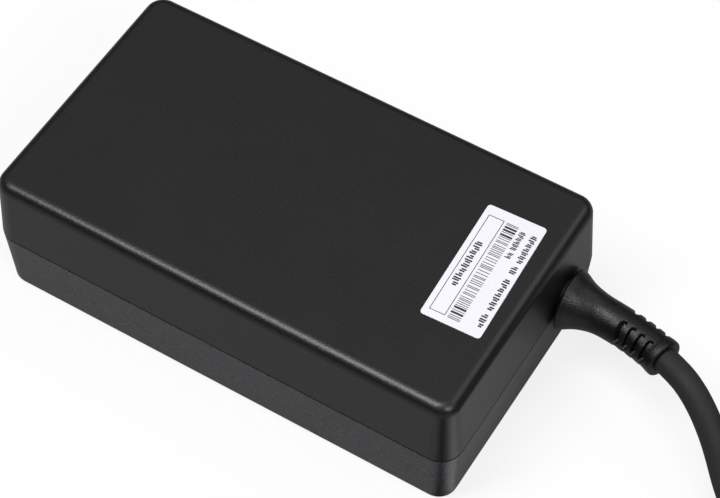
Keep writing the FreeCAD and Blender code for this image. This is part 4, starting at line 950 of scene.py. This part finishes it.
@dataclass
class BarrelPlug:
    """Barrel plug at the cord's far end."""

    start: Point = (211.8, 20.0, 5.25)
    round_steps: int = 64
    heel: tuple[Pair, ...] = ((0.0, 3.05), (0.0, 3.5), (0.15, 3.8), (0.5, 4.05), (0.9, 4.1))
    groove: tuple[Pair, ...] = ((-0.62, 4.1), (-0.45, 4.0), (-0.38, 3.62), (-0.2, 3.5), (0.2, 3.5),
                                (0.38, 3.62), (0.45, 4.0), (0.62, 4.1))
    groove_middles: Point = (2.2, 4.6, 7.0)
    nose: tuple[Pair, ...] = (
        (8.4, 4.1), (9.2, 4.14), (10.2, 4.45), (11.2, 4.86), (12.2, 5.12), (13.2, 5.25), (21.4, 5.25),
        (22.2, 5.2), (23.0, 4.95), (23.5, 4.6), (23.85, 4.15), (24.0, 3.7), (24.0, 2.56), (18.0, 2.56),
    )
    contacts: tuple[tuple[str, Finish], ...] = (
        ("plug_sleeve", PLUG_METAL), ("plug_insulator", PLUG_CORE), ("plug_inner_contact", PLUG_METAL),
    )

    def grip(self) -> bpy.types.Object:
        """Builds the moulded grip with its grooves.

        Returns:
            The grip.
        """
        profile = list(self.heel)
        for middle in self.groove_middles:
            profile += [(middle + off, radius) for off, radius in self.groove]
        x, y, z = self.start
        turns = [2 * math.pi * k / self.round_steps for k in range(self.round_steps)]
        rings = [[Vector((x + radius * math.cos(turn), y + along, z + radius * math.sin(turn))) * MM
                  for turn in turns] for along, radius in profile + list(self.nose)]
        mesh = bmesh.new()
        stitch_rings(mesh, rings)
        return new_piece("plug_grip_moulding", mesh, PLUG_PLASTIC, ("plug_grip",))

    def build(self) -> list[bpy.types.Object]:
        """Builds the grip and dresses the contacts.

        Returns:
            Every piece of the plug.
        """
        pieces = [self.grip()]
        for name, finish in self.contacts:
            dress_node(name, finish)
            pieces.append(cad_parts[name])
        return pieces


@dataclass
class CoilStrap:
    """Woven strap that holds the coil together."""

    turn: float = 45.0
    centre: Pair = (157.0, 15.0)
    inner: float = 21.23
    outer: float = 48.2
    height: float = 13.1
    thickness: float = 1.0
    width: float = 10.0
    corner: float = 3.3
    corner_steps: int = 10
    inner_bevel: Pair = (0.18, 0.20)
    outer_bevel: Pair = (0.25, 0.30)
    flap: tuple[Pair, ...] = ((-8.0, 0.35), (-7.6, 0.75), (-6.8, 0.95), (-3.0, 0.98), (0.0, 0.98),
                              (4.0, 0.98), (7.2, 0.98), (7.8, 0.9), (8.0, 0.6))
    flap_sink: float = 0.02
    flap_inset: float = 0.35
    flap_soft: Pair = (0.25, 0.12)

    def place(self, across: float, up: float, along: float) -> Vector:
        """Places a point of the strap in the part.

        Args:
            across: from the loop's middle outward from the coil's.
            up: from the loop's middle.
            along: from the strap's middle line.

        Returns:
            The point in metres.
        """
        turn = math.radians(self.turn)
        out = Vector((math.cos(turn), math.sin(turn), 0.0))
        ahead = Vector((-math.sin(turn), math.cos(turn), 0.0))
        middle = Vector((self.centre[0], self.centre[1], self.height / 2 + self.thickness))
        middle += out * ((self.inner + self.outer) / 2)
        return (middle + out * across + ahead * along + Vector((0.0, 0.0, up))) * MM

    def flap_ring(self, across: float, rise: float) -> list[Vector]:
        """Section of the overlapping end.

        Args:
            across: its place across the loop.
            rise: its height above the loop.

        Returns:
            The section's points in metres.
        """
        top = self.height / 2 + self.thickness
        edge, flat = self.width / 2 - self.flap_inset, self.width / 2 - self.flap_inset - self.flap_soft[0]
        low, high = top - self.flap_sink, top + rise
        shoulder = high - self.flap_soft[1]
        return [self.place(across, up, along) for up, along in (
            (low, -edge), (shoulder, -edge), (high, -flat), (high, flat), (shoulder, edge), (low, edge))]

    def build(self) -> bpy.types.Object:
        """Builds the loop and its overlapping end.

        Returns:
            The strap.
        """
        half, thick = self.width / 2, self.thickness
        (low, low_in), (high, high_in) = self.inner_bevel, self.outer_bevel
        section = [(0.0, -half + low_in), (low, -half), (thick - high, -half), (thick, -half + high_in),
                   (thick, 0.0), (thick, half - high_in), (thick - high, half), (low, half),
                   (0.0, half - low_in), (0.0, 0.0)]
        loops = [rounded_loop((self.outer - self.inner) / 2, self.height / 2, self.corner, grow,
                              self.corner_steps) for grow, _ in section]
        rings = [[self.place(*loop[k], along) for loop, (_, along) in zip(loops, section)]
                 for k in range(len(loops[0]))]
        mesh = bmesh.new()
        stitch_rings(mesh, rings, closed=True)
        stitch_rings(mesh, [self.flap_ring(across, rise) for across, rise in self.flap])
        return new_piece("coil_strap", mesh, STRAP_WEAVE, ("cord_tie",), crease=45.0)


@dataclass
class InletAndInside:
    """Mains inlet and everything inside the case, which keep their shapes."""

    def wear(self) -> dict[str, Finish]:
        """Sorts the finishes.

        Returns:
            The finish of each node.
        """
        return {
            "inlet_housing": INLET_PLASTIC,
            "line_pin": PIN_METAL, "neutral_pin": PIN_METAL, "earth_pin": PIN_METAL,
            "dc_cord_inner_end": CORD_RUBBER, "circuit_board": BOARD_LAMINATE,
            "top_spreader": BARE_ALUMINIUM, "bottom_spreader": BARE_ALUMINIUM,
            "top_sheet": INSULATING_FILM, "bottom_sheet": INSULATING_FILM, "thermal_pads": SOFT_PAD,
            "fuse": FUSE_CERAMIC, "surge_varistor": DIPPED_CERAMIC, "inrush_thermistor": DARK_CERAMIC,
            "film_capacitor": BOX_PLASTIC, "safety_capacitors": DIPPED_CERAMIC,
            "line_choke_core": FERRITE, "line_choke_windings": RING_WIRE, "bridge_rectifier": DEVICE_EPOXY,
            "boost_choke_core": FERRITE, "boost_choke_former": FORMER_PLASTIC,
            "boost_choke_winding": ENAMELLED_WIRE, "transformer_core": FERRITE,
            "transformer_former": FORMER_PLASTIC, "transformer_windings": YELLOW_TAPE,
            "primary_heatsink": BARE_ALUMINIUM, "secondary_heatsink": BARE_ALUMINIUM,
            "boost_transistor": DEVICE_EPOXY, "boost_diode": DEVICE_EPOXY, "main_transistor": DEVICE_EPOXY,
            "output_rectifier_first": DEVICE_EPOXY, "output_rectifier_second": DEVICE_EPOXY,
            "device_pads": SOFT_PAD, "device_screws": ZINC_STEEL,
            "bulk_capacitor": CAN_SLEEVE, "output_capacitors": CAN_SLEEVE,
            "output_choke_core": FERRITE, "output_choke_winding": RING_WIRE,
            "optocoupler": DEVICE_EPOXY, "control_chips": DEVICE_EPOXY,
            "positive_wire": RED_WIRE, "negative_wire": BLACK_WIRE, "sense_wire": WHITE_WIRE,
        }

    def build(self) -> None:
        """Dresses every node."""
        for name, finish in self.wear().items():
            dress_node(name, finish)


@dataclass(frozen=True)
class Lamp:
    """One soft area lamp of the studio."""

    name: str
    place: Point
    aim: Point
    size: Pair
    power: float

    def build(self) -> None:
        """Hangs the lamp and turns it to its aim."""
        data = bpy.data.lights.new(self.name, "AREA")
        data.shape = "RECTANGLE"
        data.size, data.size_y = self.size
        data.energy = self.power
        lamp = bpy.data.objects.new(self.name, data)
        bpy.context.scene.collection.objects.link(lamp)
        lamp.location = self.place
        lamp.rotation_euler = (Vector(self.aim) - Vector(self.place)).to_track_quat("-Z", "Y").to_euler()


@dataclass
class Studio:
    """Pale floor with painted shadow and painted light where the case reflects it, soft lamps, surroundings
    and the camera.
    """

    lens: float = 118.0795
    sensor: float = 36.0
    clip: Pair = (0.01, 20.0)
    camera_place: Point = (0.16822, -0.24895, 0.43931)
    camera_right: Point = (0.85436451, 0.51967344, -0.00089837)
    camera_up: Point = (-0.42439736, 0.69872229, 0.57591149)
    camera_back: Point = (0.29991361, -0.49165707, 0.81751156)
    floor_half: float = 3.0
    floor_pale: Colour = (0.97, 0.97, 0.97)
    floor_dim: Colour = (0.385, 0.385, 0.385)
    floor_glow: float = 0.80
    gleam: float = 0.05
    # Painted shadow and painted light on the floor round the case's front corner, unseen by the camera but
    # reflected in the case: one dark fan, two lighter ones.
    fan_centre: Pair = (0.0527, -0.0276)
    fan_reach: Pair = (0.040, 0.070)
    fan_core: float = 0.2
    painted_shade_and_light_fans: tuple[tuple[float, float, Colour], ...] = (
        (50.0, 48.0, (0.48, 0.48, 0.48)), (-57.0, 26.0, (0.02, 0.02, 0.02)), (-8.0, 26.0, (0.95, 0.95, 0.95)),
    )
    sky: Pair = (0.01, 0.55)
    sky_span: Pair = (0.35, 0.90)
    lamps: tuple[Lamp, ...] = (
        Lamp("overhead_softbox", (-0.25, -0.32, 1.10), (0.0, 0.0, 0.01), (0.30, 0.80), 8.4),
        Lamp("right_panel", (0.92, -0.42, 0.92), (0.05, 0.0, 0.01), (0.50, 0.42), 5.0),
        Lamp("back_panel", (0.55, 0.70, 1.05), (0.0, 0.0, 0.01), (0.80, 0.60), 1.8),
    )

    def camera(self) -> None:
        """Sets up the camera at the photograph's angle."""
        data = bpy.data.cameras.new("camera")
        data.lens = self.lens
        data.sensor_width = self.sensor
        data.sensor_fit = "HORIZONTAL"
        data.clip_start, data.clip_end = self.clip
        camera = bpy.data.objects.new("camera", data)
        bpy.context.scene.collection.objects.link(camera)
        columns = (self.camera_right, self.camera_up, self.camera_back)
        turn = Matrix([[columns[c][r] for c in range(3)] for r in range(3)]).to_4x4()
        camera.matrix_world = Matrix.Translation(Vector(self.camera_place)) @ turn
        bpy.context.scene.camera = camera

    def floor_painted_shade_and_light(self, w: Wiring) -> Socket:
        """Tone of the floor in the case's sides: dim, with a painted shadow and painted light in fan shapes
        round the front corner.

        Args:
            w: wiring of the floor's material.

        Returns:
            The colour's output.
        """
        parts = w.add("ShaderNodeSeparateXYZ")
        w.join(w.add("ShaderNodeTexCoord").outputs["Object"], parts.inputs[0])
        x = w.sums("SUBTRACT", parts.outputs["X"], self.fan_centre[0])
        y = w.sums("SUBTRACT", parts.outputs["Y"], self.fan_centre[1])
        angle = w.sums("ARCTAN2", y, x)
        reach = w.sums("SQRT", w.sums("ADD", w.sums("MULTIPLY", x, x), w.sums("MULTIPLY", y, y)), 0.0)
        near = w.remap(reach, self.fan_reach[0], self.fan_reach[1], 1.0, 0.0)
        tone = opaque(self.floor_dim)
        # Each fan paints a shadow or a pool of light into the floor's tone near the front corner.
        for middle, wide, colour in self.painted_shade_and_light_fans:
            off = w.sums("ABSOLUTE", w.sums("SUBTRACT", angle, math.radians(middle)), 0.0)
            share = w.remap(off, math.radians(wide * self.fan_core), math.radians(wide), 1.0, 0.0)
            tone = w.blend(w.sums("MULTIPLY", share, near), tone, opaque(colour))
        return tone

    def sight(self, w: Wiring, strength: float) -> tuple[Socket, Socket]:
        """Finds how much white a ray meets: the camera's and those through glass much, glossy ones a little.

        Args:
            w: wiring of the floor's or the room's shader.
            strength: share of white that the camera meets.

        Returns:
            One for a ray from the camera or through glass, and the share of white.
        """
        seen = w.add("ShaderNodeLightPath")
        shown = w.sums("MAXIMUM", seen.outputs["Is Camera Ray"], seen.outputs["Is Transmission Ray"])
        return shown, w.sums("ADD", w.sums("MULTIPLY", shown, strength),
                             w.sums("MULTIPLY", seen.outputs["Is Glossy Ray"], self.gleam))

    def floor(self) -> None:
        """Lays the pale floor, whose painted shadow and painted light show only to reflections and bounced
        light, not to the camera.
        """
        mesh = bmesh.new()
        half = self.floor_half
        corners = ((-half, -half), (half, -half), (half, half), (-half, half))
        mesh.faces.new([mesh.verts.new((x, y, 0.0)) for x, y in corners])
        data = bpy.data.meshes.new("floor")
        mesh.to_mesh(data)
        mesh.free()
        floor = bpy.data.objects.new("floor", data)
        bpy.context.scene.collection.objects.link(floor)
        made = bpy.data.materials.new("pale_floor")
        made.use_nodes = True
        w = Wiring(made.node_tree)
        out = w.add("ShaderNodeOutputMaterial")
        matte = w.add("ShaderNodeBsdfDiffuse")
        glow = w.add("ShaderNodeEmission")
        glow.inputs["Color"].default_value = opaque(WHITE)
        shown, share = self.sight(w, self.floor_glow)
        # The camera sees the plain pale floor; other rays see the dim floor with its painted shadow and
        # painted light.
        w.join(w.blend(shown, self.floor_painted_shade_and_light(w), opaque(self.floor_pale)), matte.inputs["Color"])
        w.mix_shaders(share, matte, glow, out)
        data.materials.append(made)

    def surroundings(self) -> None:
        """Lights the room softly from above and shows it white to the camera."""
        world = bpy.data.worlds.new("studio")
        bpy.context.scene.world = world
        world.use_nodes = True
        w = Wiring(world.node_tree)
        out = w.add("ShaderNodeOutputWorld")
        room = w.add("ShaderNodeBackground")
        white = w.add("ShaderNodeBackground")
        white.inputs["Color"].default_value = opaque(WHITE)
        parts = w.add("ShaderNodeSeparateXYZ")
        w.join(w.add("ShaderNodeTexCoord").outputs["Generated"], parts.inputs[0])
        w.join(w.remap(parts.outputs["Z"], *self.sky_span, *self.sky), room.inputs["Strength"])
        w.mix_shaders(self.sight(w, 1.0)[1], room, white, out)

    def build(self) -> None:
        """Builds the whole studio."""
        self.camera()
        self.floor()
        self.surroundings()
        for lamp in self.lamps:
            lamp.build()
        bpy.context.scene.view_settings.view_transform = "Standard"


def main() -> None:
    """Builds every sub-assembly in order and notes the sizes."""
    logging.basicConfig(level=logging.INFO, format="%(message)s")
    Studio().build()
    CaseShells().build()
    Sticker().build()
    relief = StrainRelief().build()
    plug = BarrelPlug().build()
    strap = CoilStrap().build()
    InletAndInside().build()
    OutputCord().build([relief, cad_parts["dc_cord_inner_end"], strap] + plug)


if __name__ == "__main__":
    main()
